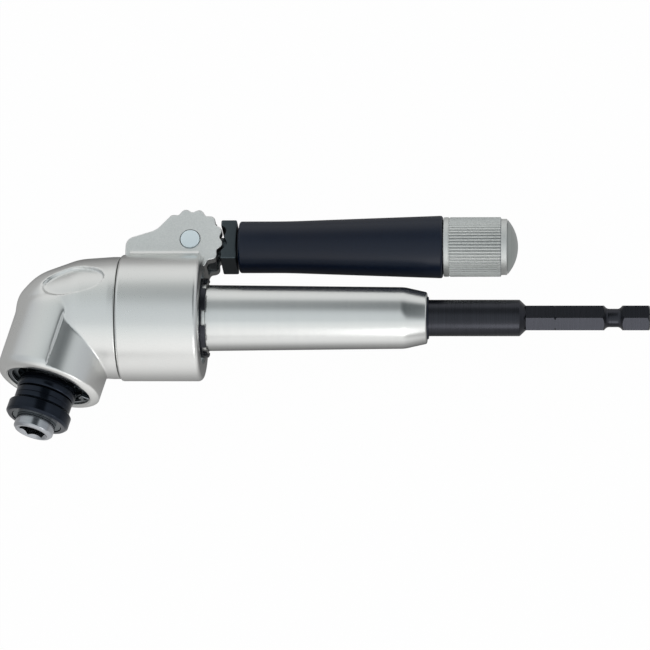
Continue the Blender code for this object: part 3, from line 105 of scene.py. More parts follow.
# %% [markdown]
# ## Drawing an outline
# Nearly every piece here came off a lathe or out of a die, so it is a line that was turned or drawn out. A
# pen point is a small circle merged to one vertex, and extruding it from corner to corner draws the line.
# Corners with a radius get an arc, as the tool's nose leaves one. Inner steps are plain stairs.

# %% A pen for outlines
FINEST, FINE, MEDIUM, SMALL = 256, 192, 96, 48
ARC_STEPS, FILLET_ROOM, MERGE = 5, 2.05, 1e-6
KEEN_EDGE, CUT_EDGE, SOFT_EDGE = 0.0001, 0.0002, 0.0003
SHARP_CORNER, NEARLY_FLAT, NEARLY_UPRIGHT = radians(50), 0.95, 0.1
GAP, SLIDING_GAP = 0.1 * MM, 0.15 * MM
print("gaps between pieces:", GAP, "still and", SLIDING_GAP, "sliding")


def deselect():
    """Leaves edit mode and lets go of everything."""
    if bpy.context.object and bpy.context.object.mode != "OBJECT":
        bpy.ops.object.mode_set(mode="OBJECT")
    bpy.ops.object.select_all(action="DESELECT")


def rounded(corners, steps=ARC_STEPS, closed=False):
    """Points through corners (a, b, fillet), with an arc at each corner that has a fillet."""
    points = []
    for index, corner in enumerate(corners):
        here = Vector(corner[:2])
        fillet = corner[2] if len(corner) > 2 else 0
        if fillet <= 0 or (not closed and index in (0, len(corners) - 1)):
            points.append(here)
            continue
        back = Vector(corners[index - 1][:2]) - here
        ahead = Vector(corners[(index + 1) % len(corners)][:2]) - here
        half = back.angle(ahead) / 2
        setback = min(fillet / tan(half), back.length / FILLET_ROOM, ahead.length / FILLET_ROOM)
        centre = here + (back.normalized() + ahead.normalized()).normalized() * setback / cos(half)
        first = here + back.normalized() * setback - centre
        last = here + ahead.normalized() * setback - centre
        sweep = first.angle_signed(last)
        for step in range(steps + 1):
            points.append(centre + Matrix.Rotation(-sweep * step / steps, 2) @ first)
    return points


def arc(centre, radius, start, end, steps):
    """Points on an arc, counted from one angle to another."""
    turns = [start + (end - start) * step / steps for step in range(steps + 1)]
    return [Vector((centre[0] + radius * cos(turn), centre[1] + radius * sin(turn))) for turn in turns]


def stairs(*values):
    """Corners of a stepped line: a radius, a height, the next radius, the next height and so on."""
    return [(there, here) if place % 2 else (here, there)
            for place, (here, there) in enumerate(zip(values, values[1:]))]


def draw(name, points, close=False):
    """A new piece in edit mode: one line of edges through the points, or the face inside them."""
    deselect()
    bpy.ops.mesh.primitive_circle_add(vertices=3, radius=MM)
    piece = bpy.context.object
    piece.name = piece.data.name = name
    bpy.ops.object.mode_set(mode="EDIT")
    bpy.ops.mesh.select_mode(type="VERT")
    bpy.ops.mesh.merge(type="CENTER")
    bpy.ops.transform.translate(value=points[0])
    for here, there in zip(points, points[1:]):
        bpy.ops.mesh.extrude_region_move(TRANSFORM_OT_translate={"value": there - here})
    bpy.ops.mesh.select_all(action="SELECT")
    if close:
        bpy.ops.mesh.edge_face_add()
    return piece


# %% [markdown]
# ## Turning, plating and cutting
# A turned piece is its half section spun once round. A flat piece is its outline drawn out to a thickness,
# with its edges broken as tumbling breaks them. Where two forms meet, a Boolean modifier joins or cuts them
# and is applied. Every finished piece has its place in its mesh, so its object stays at the origin.

# %% Lathe, press and saw
def hold(piece):
    """Selects one piece and nothing else."""
    deselect()
    piece.select_set(True)
    bpy.context.view_layer.objects.active = piece


def settle(piece, axis):
    """Lays a piece on its axis, with the place kept in its mesh."""
    hold(piece)
    piece.matrix_world = axis
    bpy.ops.object.transform_apply(location=True, rotation=True, scale=True)
    return piece


def turned(name, profile, axis, steps=FINE, closed=False):
    """A turned piece: points (radius, height), closed from the last to the first where it is a ring."""
    line = [Vector((point[0], 0, point[1])) for point in profile]
    piece = draw(name, line + line[:1] * closed)
    bpy.ops.mesh.spin(steps=steps, angle=2 * pi, center=(0, 0, 0), axis=(0, 0, 1))
    bpy.ops.mesh.select_all(action="SELECT")
    bpy.ops.mesh.remove_doubles(threshold=MERGE)
    bpy.ops.mesh.normals_make_consistent(inside=False)
    return settle(piece, axis)


def ring(name, corners, axis, steps=FINE, arc_steps=ARC_STEPS):
    """A turned ring from its corners (radius, height, fillet)."""
    return turned(name, rounded(corners, arc_steps, closed=True), axis, steps, closed=True)


def plate(name, outline, low, high, axis, edge=0.0, segments=3):
    """A flat piece between two heights, with its edges broken by a small radius."""
    piece = draw(name, [Vector((*point[:2], low)) for point in outline], close=True)
    bpy.ops.mesh.extrude_region_move(TRANSFORM_OT_translate={"value": (0, 0, high - low)})
    bpy.ops.mesh.select_all(action="SELECT")
    bpy.ops.mesh.normals_make_consistent(inside=False)
    if edge:
        break_edges(edge, segments)
    return settle(piece, axis)


def break_edges(width, segments=3):
    """Bevels the sharp edges of the piece that is being edited."""
    bpy.ops.mesh.select_mode(type="EDGE")
    bpy.ops.mesh.select_all(action="DESELECT")
    bpy.ops.mesh.edges_select_sharp(sharpness=SHARP_CORNER)
    bpy.ops.mesh.bevel(offset=width, segments=segments, affect="EDGES")


def apply_step(piece, kind, **settings):
    """Adds a modifier to a piece and applies it."""
    hold(piece)
    step = piece.modifiers.new(kind.lower(), kind)
    for key, value in settings.items():
        setattr(step, key, value)
    bpy.ops.object.modifier_apply(modifier=step.name)
    return piece


def combine(piece, operation, tools, solver="MANIFOLD"):
    """Joins shapes to a piece, cuts them from it or keeps only what lies in them."""
    for tool in tools:
        apply_step(piece, "BOOLEAN", operation=operation, solver=solver, object=tool)
        bpy.data.objects.remove(tool)
    return piece


def placed(name, axis):
    """Names the form that was just added, keeps its place in its mesh and lays it on an axis."""
    piece = bpy.context.object
    piece.name = piece.data.name = name
    bpy.ops.object.transform_apply(location=True, rotation=True, scale=True)
    return settle(piece, axis)


def cylinder(name, radius, low, high, axis, sides=SMALL, clock=0.0):
    """A straight bar or drill along an axis, as a tool or as the start of a piece."""
    deselect()
    bpy.ops.mesh.primitive_cylinder_add(vertices=sides, radius=radius, depth=high - low,
                                        location=(0, 0, (low + high) / 2), rotation=(0, 0, clock))
    return placed(name, axis)


def cuboid(name, middle, size, axis, clock=0.0):
    """A straight block on an axis, turned about it by a clock angle."""
    deselect()
    bpy.ops.mesh.primitive_cube_add(size=1, location=middle, rotation=(0, 0, clock), scale=size)
    return placed(name, axis)


# %% [markdown]
# ## Handing a piece over
# Each finished piece rides on the body that carries it and stands in for the solid with its name. Its surface
# is shaded smooth except over real edges. On a piece with flats the normals are weighted by area, so that a
# flat stays flat to the eye right up to a cut.

# %% Finish a piece and hang it on its body
MADE = []


def finish(piece, material, slot, body, *nodes, sharp=30, flats=False):
    """Shades a piece, paints it and puts it in the place of its solids."""
    hold(piece)
    bpy.ops.object.shade_smooth_by_angle(angle=radians(sharp))
    if flats:
        apply_step(piece, "WEIGHTED_NORMAL", keep_sharp=True)
    piece.data.materials.clear()
    piece.data.materials.append(material)
    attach(piece, body)
    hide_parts(*nodes)
    MADE.append(piece)
    print(piece.name, "-", len(piece.data.polygons), "faces")
    return piece


def repaint(piece, material, chosen):
    """Gives a second finish to the faces of a finished piece that pass a test."""
    piece.data.materials.append(material)
    faces = [face for face in piece.data.polygons if chosen(face)]
    for face in faces:
        face.material_index = 1
    print(len(faces), "faces of", piece.name, "in", material.name)


# %% [markdown]
# ## How a metal is painted
# All metals here share one layout: a colour that drifts a little, a roughness that drifts with it, and a fine
# bump. What changes is the pattern's direction: a turned face has rings round its axis, a cast one has an
# even grain. Object coordinates carry the pattern, so it stays on the piece when the piece moves.

# %% Colours and nodes
def linear(hexed):
    """A linear colour from an sRGB hex value."""
    parts = [int(hexed[place:place + 2], 16) / 255 for place in (1, 3, 5)]
    flat = [part / 12.92 if part <= 0.04045 else ((part + 0.055) / 1.055) ** 2.4 for part in parts]
    return (*flat, 1)


def add_node(tree, kind, links=(), **settings):
    """Adds a node, sets its fields and sockets, and links outputs (socket, from) to it."""
    node = tree.nodes.new(kind)
    for key, value in settings.items():
        if hasattr(node, key):
            setattr(node, key, value)
        else:
            node.inputs[key.replace("_", " ")].default_value = value
    for socket, source in links:
        tree.links.new(source, node.inputs[socket])
    return node


def reckon(tree, operation, *terms):
    """The result of a Math node. Each term is a number or an output of another node."""
    node = add_node(tree, "ShaderNodeMath", operation=operation)
    for place, term in enumerate(terms):
        if isinstance(term, (int, float)):
            node.inputs[place].default_value = term
        else:
            tree.links.new(term, node.inputs[place])
    return node.outputs["Value"]


def blend(tree, share, first, second):
    """A colour between two. Each is a hex value or an output of another node."""
    node = add_node(tree, "ShaderNodeMix", [("Factor", share)], data_type="RGBA")
    for socket, colour in ((6, first), (7, second)):
        if isinstance(colour, str):
            node.inputs[socket].default_value = linear(colour)
        else:
            tree.links.new(colour, node.inputs[socket])
    return node.outputs[2]


def mixed(tree, share, first, second):
    """A surface between two, by a share. All three are outputs of other nodes."""
    return add_node(tree, "ShaderNodeMixShader", [(0, share), (1, first), (2, second)]).outputs["Shader"]


def straight_rays(tree):
    """1 for a ray that comes straight from the camera, also through glass, and 0 for any other."""
    rays = add_node(tree, "ShaderNodeLightPath")
    return reckon(tree, "MAXIMUM", rays.outputs["Is Camera Ray"], rays.outputs["Is Transmission Ray"])


def new_finish(name, **surface):
    """A material with a Principled surface, and its node tree."""
    material = bpy.data.materials.new(name)
    material.use_nodes = True
    tree = material.node_tree
    shader = tree.nodes["Principled BSDF"]
    for key, value in surface.items():
        shader.inputs[key.replace("_", " ")].default_value = value
    return material, tree, shader


# %% [markdown]
# A fine noise and a broad one are added, and the sum drives everything. It seldom leaves 0.7 to 1.3, so that
# is the range which is spread between the two colours. A noise's scale is one over a real size: a grain of
# 0.25 mm has a scale of one over 0.00025. For turned faces the coordinates are squeezed across the axis, so
# that the grain becomes rings.

# %% A grained metal
SPREAD = {"From_Min": 0.7, "From_Max": 1.3}


def grained(name, dark, light, roughness, grain, bump, stretch=(1, 1, 1), metallic=1.0, drift=0.03,
            depth=0.05, place=Matrix(), **surface):
    """A metal or plastic with a colour between two hex values and a grain of a real size in metres."""
    material, tree, shader = new_finish(name, Metallic=metallic, **surface)
    where = add_node(tree, "ShaderNodeTexCoord")
    at = add_node(tree, "ShaderNodeMapping", [("Vector", where.outputs["Object"])], vector_type="TEXTURE",
                  Location=place.to_translation(), Rotation=place.to_euler())
    laid = add_node(tree, "ShaderNodeMapping", [("Vector", at.outputs["Vector"])], Scale=stretch)
    fine = add_node(tree, "ShaderNodeTexNoise", [("Vector", laid.outputs["Vector"])], Scale=1 / grain,
                    Detail=4.0)
    broad = add_node(tree, "ShaderNodeTexNoise", [("Vector", at.outputs["Vector"])], Scale=1 / drift,
                     Detail=3.0)
    both = reckon(tree, "ADD", fine.outputs["Fac"], broad.outputs["Fac"])
    tone = add_node(tree, "ShaderNodeMapRange", [("Value", both)], **SPREAD)
    rough = add_node(tree, "ShaderNodeMapRange", [("Value", both)], **SPREAD,
                     To_Min=roughness - depth, To_Max=roughness + depth)
    relief = add_node(tree, "ShaderNodeBump", [("Height", fine.outputs["Fac"])], Strength=bump,
                      Distance=grain / 6)
    tree.links.new(blend(tree, tone.outputs["Result"], dark, light), shader.inputs["Base Color"])
    tree.links.new(rough.outputs["Result"], shader.inputs["Roughness"])
    tree.links.new(relief.outputs["Normal"], shader.inputs["Normal"])
    return material


print("a noise of", SPREAD["From_Min"], "to", SPREAD["From_Max"], "is spread over each finish")

# %% [markdown]
# ## The finishes
# Head and collar are zinc die castings with a nickel plate: a soft, slightly warm grey. The flat ears keep
# the coarser skin of the blasting. Tube and knob are turned aluminium, with rings that stretch its
# highlights. The pressed valleys of the knob get a darker grey, which is painted shade, and its brushed cap is
# duller. Shaft, sleeve and lock block are steel with black oxide, which is a thin dark skin that still shines
# like metal. The grip is moulded black plastic with a satin skin. Grains under a tenth of a millimetre don't
# show, so they are drawn a little coarser. An image of each metal would do too, but a formula has no seams and
# needs no file.

# %% Mix the finishes
RINGS = (1, 0.02, 0.02)
OUTPUT_RINGS = (0.02, 0.02, 1)
cast_nickel = grained("cast_nickel", "#dedfdd", "#e6e6e4", 0.30, 0.00022, 0.035, depth=0.03)
blasted_nickel = grained("blasted_nickel", "#e4e6e4", "#f4f5f3", 0.62, 0.00035, 0.45)
turned_aluminium = grained("turned_aluminium", "#dcdddc", "#e0e1df", 0.25, 0.00030, 0.012, RINGS, depth=0.012)
knurled_aluminium = grained("knurled_aluminium", "#dcdedb", "#e4e5e3", 0.60, 0.00030, 0.015, RINGS,
                            depth=0.015)
# Painted shade: the knob's valleys get a darker grey than its crests.
knurl_valley_shade = grained("knurl_valley_shade", "#96989a", "#a2a4a5", 0.60, 0.00020, 0.05)
cap_aluminium = grained("brushed_cap_aluminium", "#b2b8b6", "#c0c6c4", 0.30, 0.00030, 0.03, RINGS, depth=0.02)
black_oxide = grained("black_oxide_steel", "#333439", "#3c3d43", 0.28, 0.00030, 0.012, RINGS, metallic=0.9,
                      depth=0.015)
# Painted shade: this blackened steel also darkens the bearing parts inside the mouth.
black_steel = grained("blackened_steel_and_mouth_shade", "#485054", "#555d61", 0.30, 0.00020, 0.08, metallic=0.9)
sleeve_black = grained("blackened_sleeve", "#1d222b", "#262c36", 0.17, 0.00030, 0.015, OUTPUT_RINGS,
                       metallic=0.85, place=OUTPUT, depth=0.02)
bright_steel = grained("bright_steel", "#a6a9ae", "#b4b7bb", 0.19, 0.00030, 0.015, OUTPUT_RINGS, place=OUTPUT,
                       depth=0.02)
zinc_steel = grained("zinc_plated_steel", "#f2fbff", "#f8feff", 0.75, 0.0002, 0.06)
gear_steel = grained("hardened_gear_steel", "#77797b", "#8b8d90", 0.28, 0.0002, 0.08)
black_plastic = grained("black_moulded_plastic", "#040e22", "#0c1a2e", 0.36, 0.00025, 0.08, metallic=0.0,
                        IOR=1.40)
print(len(bpy.data.materials), "materials")

# %% [markdown]
# ## The gear head
# The head is a dome over two bevel gears, with a short barrel for the spindle that leaves at 105 degrees. It
# could be sculpted, but its forms are plain: a turned dome that is flatter towards its flange, a turned
# mouth, and a step where the mouth is set back beside the barrel. They are joined as sharp forms first. Then
# the skin is laid again as an even net, pulled onto the sharp form, and rubbed where the die has its soft
# fillets.

# %% The sharp form of the head
HEAD_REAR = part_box("swivel_collar")[0].x - 2 * GAP
NECK_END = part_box("ring_nut")[1].x - 2 * GAP
FLANGE_RADIUS, FLANGE_WIDTH = 0.01585, 0.0019
SHOULDER_PLACE, SHOULDER_RADIUS = 0.0022, 0.01525
BROW_PLACE, BROW_RADIUS, DOME_ROUND = -0.0088, 0.0114, 0.0140
CROWN_REACH, CROWN_RADIUS, CROWN_ROUND = 0.0143, 0.00565, 0.0105
MOUTH_REACH, MOUTH_RADIUS, MOUTH_ROUND = 0.0200, 0.0141, 0.0025
ROOT_PLACE, ROOT_RADIUS, ROOT_ROUND, ROOT_DEPTH = -0.0025, 0.0144, 0.0090, 0.0100
RELIEF_RADIUS, RELIEF_START = 0.01355, 0.0010
PAST = 0.0040


def dome_profile(inset=0.0, rear=HEAD_REAR + PAST / 2):
    """The flange and the dome down to its crown, turned about the barrel: points (radius, place)."""
    flange, crown = FLANGE_RADIUS - inset, APEX.x - CROWN_REACH + inset
    return rounded([
        (0, rear), (flange, rear), (flange, HEAD_REAR - FLANGE_WIDTH),
        (SHOULDER_RADIUS - inset, APEX.x + SHOULDER_PLACE, DOME_ROUND),
        (BROW_RADIUS - inset, APEX.x + BROW_PLACE, DOME_ROUND), (CROWN_RADIUS - inset, crown, CROWN_ROUND),
        (0, crown)], steps=16)


def mouth_shell():
    """The outside of the mouth, set back by a step on the side of the barrel."""
    outline = rounded([(0, MOUTH_REACH), (MOUTH_RADIUS, MOUTH_REACH, MOUTH_ROUND),
                       (ROOT_RADIUS, ROOT_PLACE, ROOT_ROUND), (0, -ROOT_DEPTH)], steps=14)
    shell = turned("mouth_shell", outline, OUTPUT)
    reach = 2 * FLANGE_RADIUS
    step = cuboid("mouth_step", (RELIEF_START + reach, 0, reach / 2), (2 * reach,) * 3, OUTPUT)
    combine(step, "DIFFERENCE", [cylinder("mouth_core", RELIEF_RADIUS, -2 * reach, 2 * reach, OUTPUT, FINE)])
    return combine(shell, "DIFFERENCE", [step])


gear_housing = turned("gear_head", dome_profile(), BARREL, FINEST)
combine(gear_housing, "UNION", [mouth_shell()])
print("sharp head:", len(gear_housing.data.vertices), "points")

# %% [markdown]
# The oval hollow for the thumb sits on both sides of the dome, of even depth under the skin. Its cutter is an
# oval bar with the dome's own shape, a little smaller, taken out of it.

# %% Thumb hollows
RECESS_LENGTH, RECESS_WIDTH, RECESS_DEPTH = 0.0162, 0.0088, 0.0010
RECESS_TURN, RECESS_SHIFT = radians(21), 0.0017
OVAL_STEPS = 72


def thumb_hollow(side):
    """The cutter for one hollow."""
    turn = side * (pi / 2 - RECESS_TURN)
    outward = Vector((0, cos(turn), sin(turn)))
    place = axis_at(APEX + X_WAY * RECESS_SHIFT, outward, X_WAY)
    oval = [(RECESS_LENGTH / 2 * cos(angle), RECESS_WIDTH / 2 * sin(angle))
            for angle in (2 * pi * step / OVAL_STEPS for step in range(OVAL_STEPS))]
    bar = plate("thumb_hollow", oval, FLANGE_RADIUS / 2, FLANGE_RADIUS + PAST, place)
    floor = turned("hollow_floor", dome_profile(RECESS_DEPTH), BARREL, FINEST)
    return combine(bar, "DIFFERENCE", [floor])


combine(gear_housing, "DIFFERENCE", [thumb_hollow(1), thumb_hollow(-1)])
print("with hollows:", len(gear_housing.data.vertices), "points")

# %% [markdown]
# A net of 0.3 mm cells follows the form closely enough once each point is pulled back onto the sharp head.
# Rubbing it some twenty times spreads every crease over about a millimetre, as the fillets of the die do. The
# rim of the mouth and the step beside the barrel are rubbed less, because they are crisp on the real head.

# %% Cast skin
NET, RUBS = 0.0003, 22
RIM_START, RIM_RUN = 0.0155, 0.0035
SIDE_START, SIDE_RUN, SIDE_RUB = 0.0020, 0.0040, 0.22


def softness(point):
    """How much a point of the head is rubbed: less beside the barrel, and nothing at the mouth's rim."""
    local = OUTPUT.inverted() @ point
    towards_rim = min(1.0, max(0.0, (RIM_START - local.z) / RIM_RUN))
    beside = min(1.0, max(0.0, (SIDE_START - local.x) / SIDE_RUN))
    return towards_rim * (SIDE_RUB + (1 - SIDE_RUB) * beside)


sharp_head = gear_housing.copy()
sharp_head.data = gear_housing.data.copy()
bpy.context.scene.collection.objects.link(sharp_head)
apply_step(gear_housing, "REMESH", mode="VOXEL", voxel_size=NET)
apply_step(gear_housing, "SHRINKWRAP", target=sharp_head)
bpy.data.objects.remove(sharp_head)
rub = gear_housing.vertex_groups.new(name="rub")
for vertex in gear_housing.data.vertices:
    rub.add([vertex.index], softness(vertex.co), "REPLACE")
apply_step(gear_housing, "SMOOTH", factor=0.5, iterations=RUBS, vertex_group="rub")
gear_housing.vertex_groups.clear()
print("cast skin:", len(gear_housing.data.polygons), "faces")

# %% [markdown]
# The bores, the flange's broken edge and the neck are machined after casting, so they are cut last and stay
# crisp: the neck carries the collar, and the mouth has a groove for its circlip.

# %% Machine the head
NECK_RADIUS, NECK_THREAD_RADIUS = 0.0106, 0.0093
NECK_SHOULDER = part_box("thrust_washer")[0].x - GAP
BREAK = 0.00035
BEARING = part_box("input_bearing_outer")
BEARING_SEAT = 0.01105
BARREL_BORE, THROAT_RADIUS, THROAT_SETBACK = 0.00805, 0.0070, 0.0029
MOUTH_CHAMFER = 0.0004
GROOVE_LOW, GROOVE_HIGH, GROOVE_DEPTH = 0.0184, 0.0194, 0.0006
BEARING_SHOULDER, GEAR_ROOM, PINION_ROOM, ROOM_BEHIND = 0.0112, 0.0093, 0.0090, 0.0050


def flange_envelope():
    """All that lies in front of the flange's rear face, with a small radius on its edge."""
    far = 3 * FLANGE_RADIUS
    edge = arc((FLANGE_RADIUS - BREAK, HEAD_REAR - BREAK), BREAK, 0, pi / 2, 4)
    return turned("flange_envelope", [
        (0, HEAD_REAR), *edge[::-1], (FLANGE_RADIUS + BREAK / 4, HEAD_REAR - FLANGE_WIDTH / 2),
        (far, HEAD_REAR - 2 * FLANGE_WIDTH), (far, APEX.x - far), (0, APEX.x - far)], BARREL, FINEST)


neck = turned("neck", stairs(
    0, NECK_END, NECK_THREAD_RADIUS, NECK_SHOULDER, NECK_RADIUS, HEAD_REAR - PAST / 2, 0), BARREL)
barrel_bore = turned("barrel_bore", stairs(
    0, NECK_END + PAST, BARREL_BORE, BEARING[0].x - GAP, THROAT_RADIUS, HEAD_REAR - THROAT_SETBACK,
    PINION_ROOM, APEX.x - ROOM_BEHIND, 0), BARREL, MEDIUM)
mouth_bore = turned("mouth_bore", [
    (0, MOUTH_REACH + PAST), (BEARING_SEAT + MOUTH_CHAMFER + PAST, MOUTH_REACH + PAST),
    (BEARING_SEAT, MOUTH_REACH - MOUTH_CHAMFER),
    *stairs(BEARING_SEAT, GROOVE_HIGH, BEARING_SEAT + GROOVE_DEPTH, GROOVE_LOW, BEARING_SEAT,
            BEARING_SHOULDER, GEAR_ROOM, -ROOM_BEHIND, 0)], OUTPUT)
combine(gear_housing, "INTERSECT", [flange_envelope()])
combine(gear_housing, "UNION", [neck])
combine(gear_housing, "DIFFERENCE", [barrel_bore, mouth_bore])
finish(gear_housing, cast_nickel, "cast_nickel", "housing", "gear_housing", sharp=40)

# %% [markdown]
# ## The barrel
# The tube is turned from aluminium bar: a long, very slight taper, then a steeper cone to the nose. A plastic
# bush closes the nose, and the castellated nut and the washer hold the collar on the neck. Cones from the Add
# menu would give the outside, but one closed line also has the bore, its step and the soft corners.

# %% Tube, bush and washer
TUBE_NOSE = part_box("barrel_tube")[1].x
NUT_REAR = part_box("ring_nut")[1].x
SPIGOT_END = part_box("barrel_tube")[0].x
TUBE_CONE, TUBE_TIP, TUBE_KNEE, TUBE_BUTT = 0.0058, 0.00665, 0.00795, 0.00855
TUBE_LIP, TUBE_BEND = 0.0005, 0.0090
SPIGOT_RADIUS, TUBE_BORE, BUSH_SEAT, BUSH_DEPTH = 0.0079, 0.0063, 0.0056, 0.0112
tube = ring("tube", [
    (TUBE_TIP, TUBE_NOSE, TUBE_LIP), (TUBE_KNEE, TUBE_NOSE - TUBE_CONE, TUBE_BEND),
    (TUBE_BUTT, NUT_REAR - GAP), (SPIGOT_RADIUS, NUT_REAR - GAP),
    *stairs(SPIGOT_RADIUS, SPIGOT_END, TUBE_BORE, TUBE_NOSE - BUSH_DEPTH, BUSH_SEAT, TUBE_NOSE)],
    BARREL, arc_steps=10)
finish(tube, turned_aluminium, "satin_aluminium", "housing", "barrel_tube", sharp=35)
BUSH_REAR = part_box("rear_bush")[1].x
BUSH_RADIUS, BUSH_BORE, BUSH_LENGTH = 0.0055, 0.00485, 0.0115
bush = ring("tail_bush", [
    (BUSH_RADIUS, BUSH_REAR, CUT_EDGE), (BUSH_RADIUS, BUSH_REAR - BUSH_LENGTH),
    (BUSH_BORE, BUSH_REAR - BUSH_LENGTH), (BUSH_BORE, BUSH_REAR, CUT_EDGE)], BARREL, MEDIUM)
finish(bush, black_plastic, "black_plastic", "housing", "rear_bush")
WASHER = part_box("thrust_washer")
WASHER_RADIUS, NUT_BORE = 0.0116, 0.0094
washer = ring("washer", [
    (WASHER_RADIUS, WASHER[1].x, KEEN_EDGE), *stairs(WASHER_RADIUS, WASHER[0].x, NUT_BORE, WASHER[1].x)],
    BARREL, MEDIUM)
finish(washer, zinc_steel, "bright_steel", "housing", "thrust_washer")

# %% [markdown]
# The nut's six slots take a spanner with two pins. Each cutter goes right across, so three of them cut all
# six.

# %% Castellated nut
NUT_SLOT_WIDTH, NUT_SLOT_DEPTH, NUT_RADIUS, NUT_WIDTH = 0.0042, 0.0010, 0.0103, 0.0020
NUT_CLOCK = radians(112.5)
ring_nut = ring("castle_nut", [
    (NUT_RADIUS, NUT_REAR, SOFT_EDGE), (NUT_RADIUS, NUT_REAR - NUT_WIDTH), (NUT_BORE, NUT_REAR - NUT_WIDTH),
    (NUT_BORE, NUT_REAR, CUT_EDGE)], BARREL)
blades = [cuboid("nut_slot", (0, 0, NUT_REAR + NUT_SLOT_DEPTH),
                 (3 * NUT_RADIUS, NUT_SLOT_WIDTH, 4 * NUT_SLOT_DEPTH), BARREL, NUT_CLOCK + slot * pi / 3)
          for slot in range(3)]
combine(ring_nut, "DIFFERENCE", blades)
finish(ring_nut, black_oxide, "black_steel", "housing", "ring_nut")

# %% [markdown]
# ## The input shaft
# A hex shank with a detent groove, so that it fits quick-change chucks, then a cone and a round shaft. The
# hex bar is turned down by an envelope: where the lathe's groove meets the flats, it leaves the curved edges
# that every such shank has. The shaft's clock angle puts one hex edge in front, as on the real one.

# %% Shank and shaft
HEX_FLATS, HEX_LENGTH, HEX_CLOCK = 0.00635, 0.0318, radians(22.5)
HEX_END, HEX_ROUND, OVERLAP = 0.0007, 0.0003, 0.4 * MM
SHAFT_RADIUS, SHAFT_CONE, CONE_ROUND = 0.0047, 0.0016, 0.0004
JOURNAL_RADIUS, JOURNAL_END, TAIL_RADIUS = 0.00397, 0.0007, 0.0030
GROOVE_RADIUS, GROOVE_CENTRE, GROOVE_FLAT, GROOVE_RUN = 0.002375, 0.0094, 0.0032, 0.0012
NOTCH_PLACE, NOTCH_DEPTH = 0.0243, 0.00035
PIN_CLOCK, PIN_HOLE, PIN_SETBACK = radians(112.5), 0.0011, 0.0031
corner = HEX_FLATS / 2 / cos(pi / 6)
outside = corner + OVERLAP
shaft_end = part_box("input_shaft")[0].x
shaft_shoulder = BEARING[1].x + GAP
shaft_line = rounded([
    (0, -HEX_LENGTH + OVERLAP), (HEX_FLATS / 2 - OVERLAP, -HEX_LENGTH + OVERLAP),
    (SHAFT_RADIUS, -HEX_LENGTH - SHAFT_CONE, CONE_ROUND),
    *stairs(SHAFT_RADIUS, shaft_shoulder, JOURNAL_RADIUS, HEAD_REAR - JOURNAL_END, TAIL_RADIUS,
            shaft_end, 0)])
input_shaft = turned("shaft", shaft_line, BARREL, MEDIUM)
shank = cylinder("shank", corner, -HEX_LENGTH, 0, BARREL, 6, HEX_CLOCK)
front, back = -GROOVE_CENTRE + GROOVE_FLAT / 2, -GROOVE_CENTRE - GROOVE_FLAT / 2
run = GROOVE_RUN * (outside - GROOVE_RADIUS) / (corner - GROOVE_RADIUS)
notch = NOTCH_DEPTH + outside - corner
envelope = turned("shank_envelope", rounded([
    (0, 0), (corner - HEX_END, 0, HEX_ROUND), (outside, -HEX_END - OVERLAP), (outside, front + run),
    (GROOVE_RADIUS, front, GROOVE_RUN), (GROOVE_RADIUS, back, GROOVE_RUN), (outside, back - run),
    (outside, -NOTCH_PLACE + notch), (outside - notch, -NOTCH_PLACE, KEEN_EDGE),
    (outside, -NOTCH_PLACE - notch), *stairs(outside, -HEX_LENGTH - OVERLAP / 2, 0)]), BARREL, MEDIUM)
combine(shank, "INTERSECT", [envelope])
combine(input_shaft, "UNION", [shank])
across = Vector((0, cos(PIN_CLOCK), sin(PIN_CLOCK)))
pin_axis = axis_at(Vector((HEAD_REAR - PIN_SETBACK, 0, 0)), across, X_WAY)
pin_hole = cylinder("pin_hole", PIN_HOLE, -2 * SHAFT_RADIUS, 2 * SHAFT_RADIUS, pin_axis, 24)
combine(input_shaft, "DIFFERENCE", [pin_hole])
finish(input_shaft, black_oxide, "black_oxide", "input", "input_shaft", sharp=25, flats=True)

# %% [markdown]
# ## The output end
# A black dust ring turns with the spindle in front of the mouth. The release sleeve behind the nose is pulled
# forward to free the bit. The nose is bright, with a hex socket whose mouth is countersunk.

# %% Dust ring and release sleeve
RING_FRONT, RING_WIDTH, RING_RADIUS, RING_ROUND = 0.0224, 0.0032, 0.0077, 0.0006
NOSE_RADIUS, NOSE_REACH = 0.0052, 0.0330
SLEEVE_REAR, SLEEVE_FRONT, FLANGE_REAR = 0.0226, 0.0297, 0.0259
dust_ring = ring("dust_ring", [
    (RING_RADIUS, RING_FRONT, RING_ROUND), (RING_RADIUS, RING_FRONT - RING_WIDTH, SOFT_EDGE),
    (NOSE_RADIUS + GAP, RING_FRONT - RING_WIDTH), (NOSE_RADIUS + GAP, RING_FRONT)], OUTPUT)
finish(dust_ring, sleeve_black, "black_steel", "output", "spindle_ring")
GROOVE, LINE, CHAMFER = 0.0003, 0.00012, 0.0006
NECK, FLANGE, LAND, LAND_WIDTH, CHAMBER = 0.0074, 0.0083, 0.00535, 0.0016, 0.0066
middle = (SLEEVE_REAR + FLANGE_REAR) / 2
sleeve = ring("sleeve", [
    (FLANGE - CHAMFER, SLEEVE_FRONT, CUT_EDGE), (FLANGE, SLEEVE_FRONT - CHAMFER, CUT_EDGE),
    (FLANGE, FLANGE_REAR + CHAMFER, CUT_EDGE), (FLANGE - CHAMFER, FLANGE_REAR, KEEN_EDGE),
    (NECK - GROOVE, FLANGE_REAR), (NECK - GROOVE, FLANGE_REAR - GROOVE),
    (NECK, FLANGE_REAR - GROOVE, KEEN_EDGE / 2), (NECK, middle + LINE), (NECK - LINE, middle),
    (NECK, middle - LINE), (NECK, SLEEVE_REAR, SOFT_EDGE), (LAND, SLEEVE_REAR, KEEN_EDGE),
    *stairs(LAND, SLEEVE_REAR + LAND_WIDTH, CHAMBER), (CHAMBER, SLEEVE_FRONT, KEEN_EDGE)], OUTPUT)
finish(sleeve, sleeve_black, "black_steel", "sleeve", "release_sleeve", sharp=35)
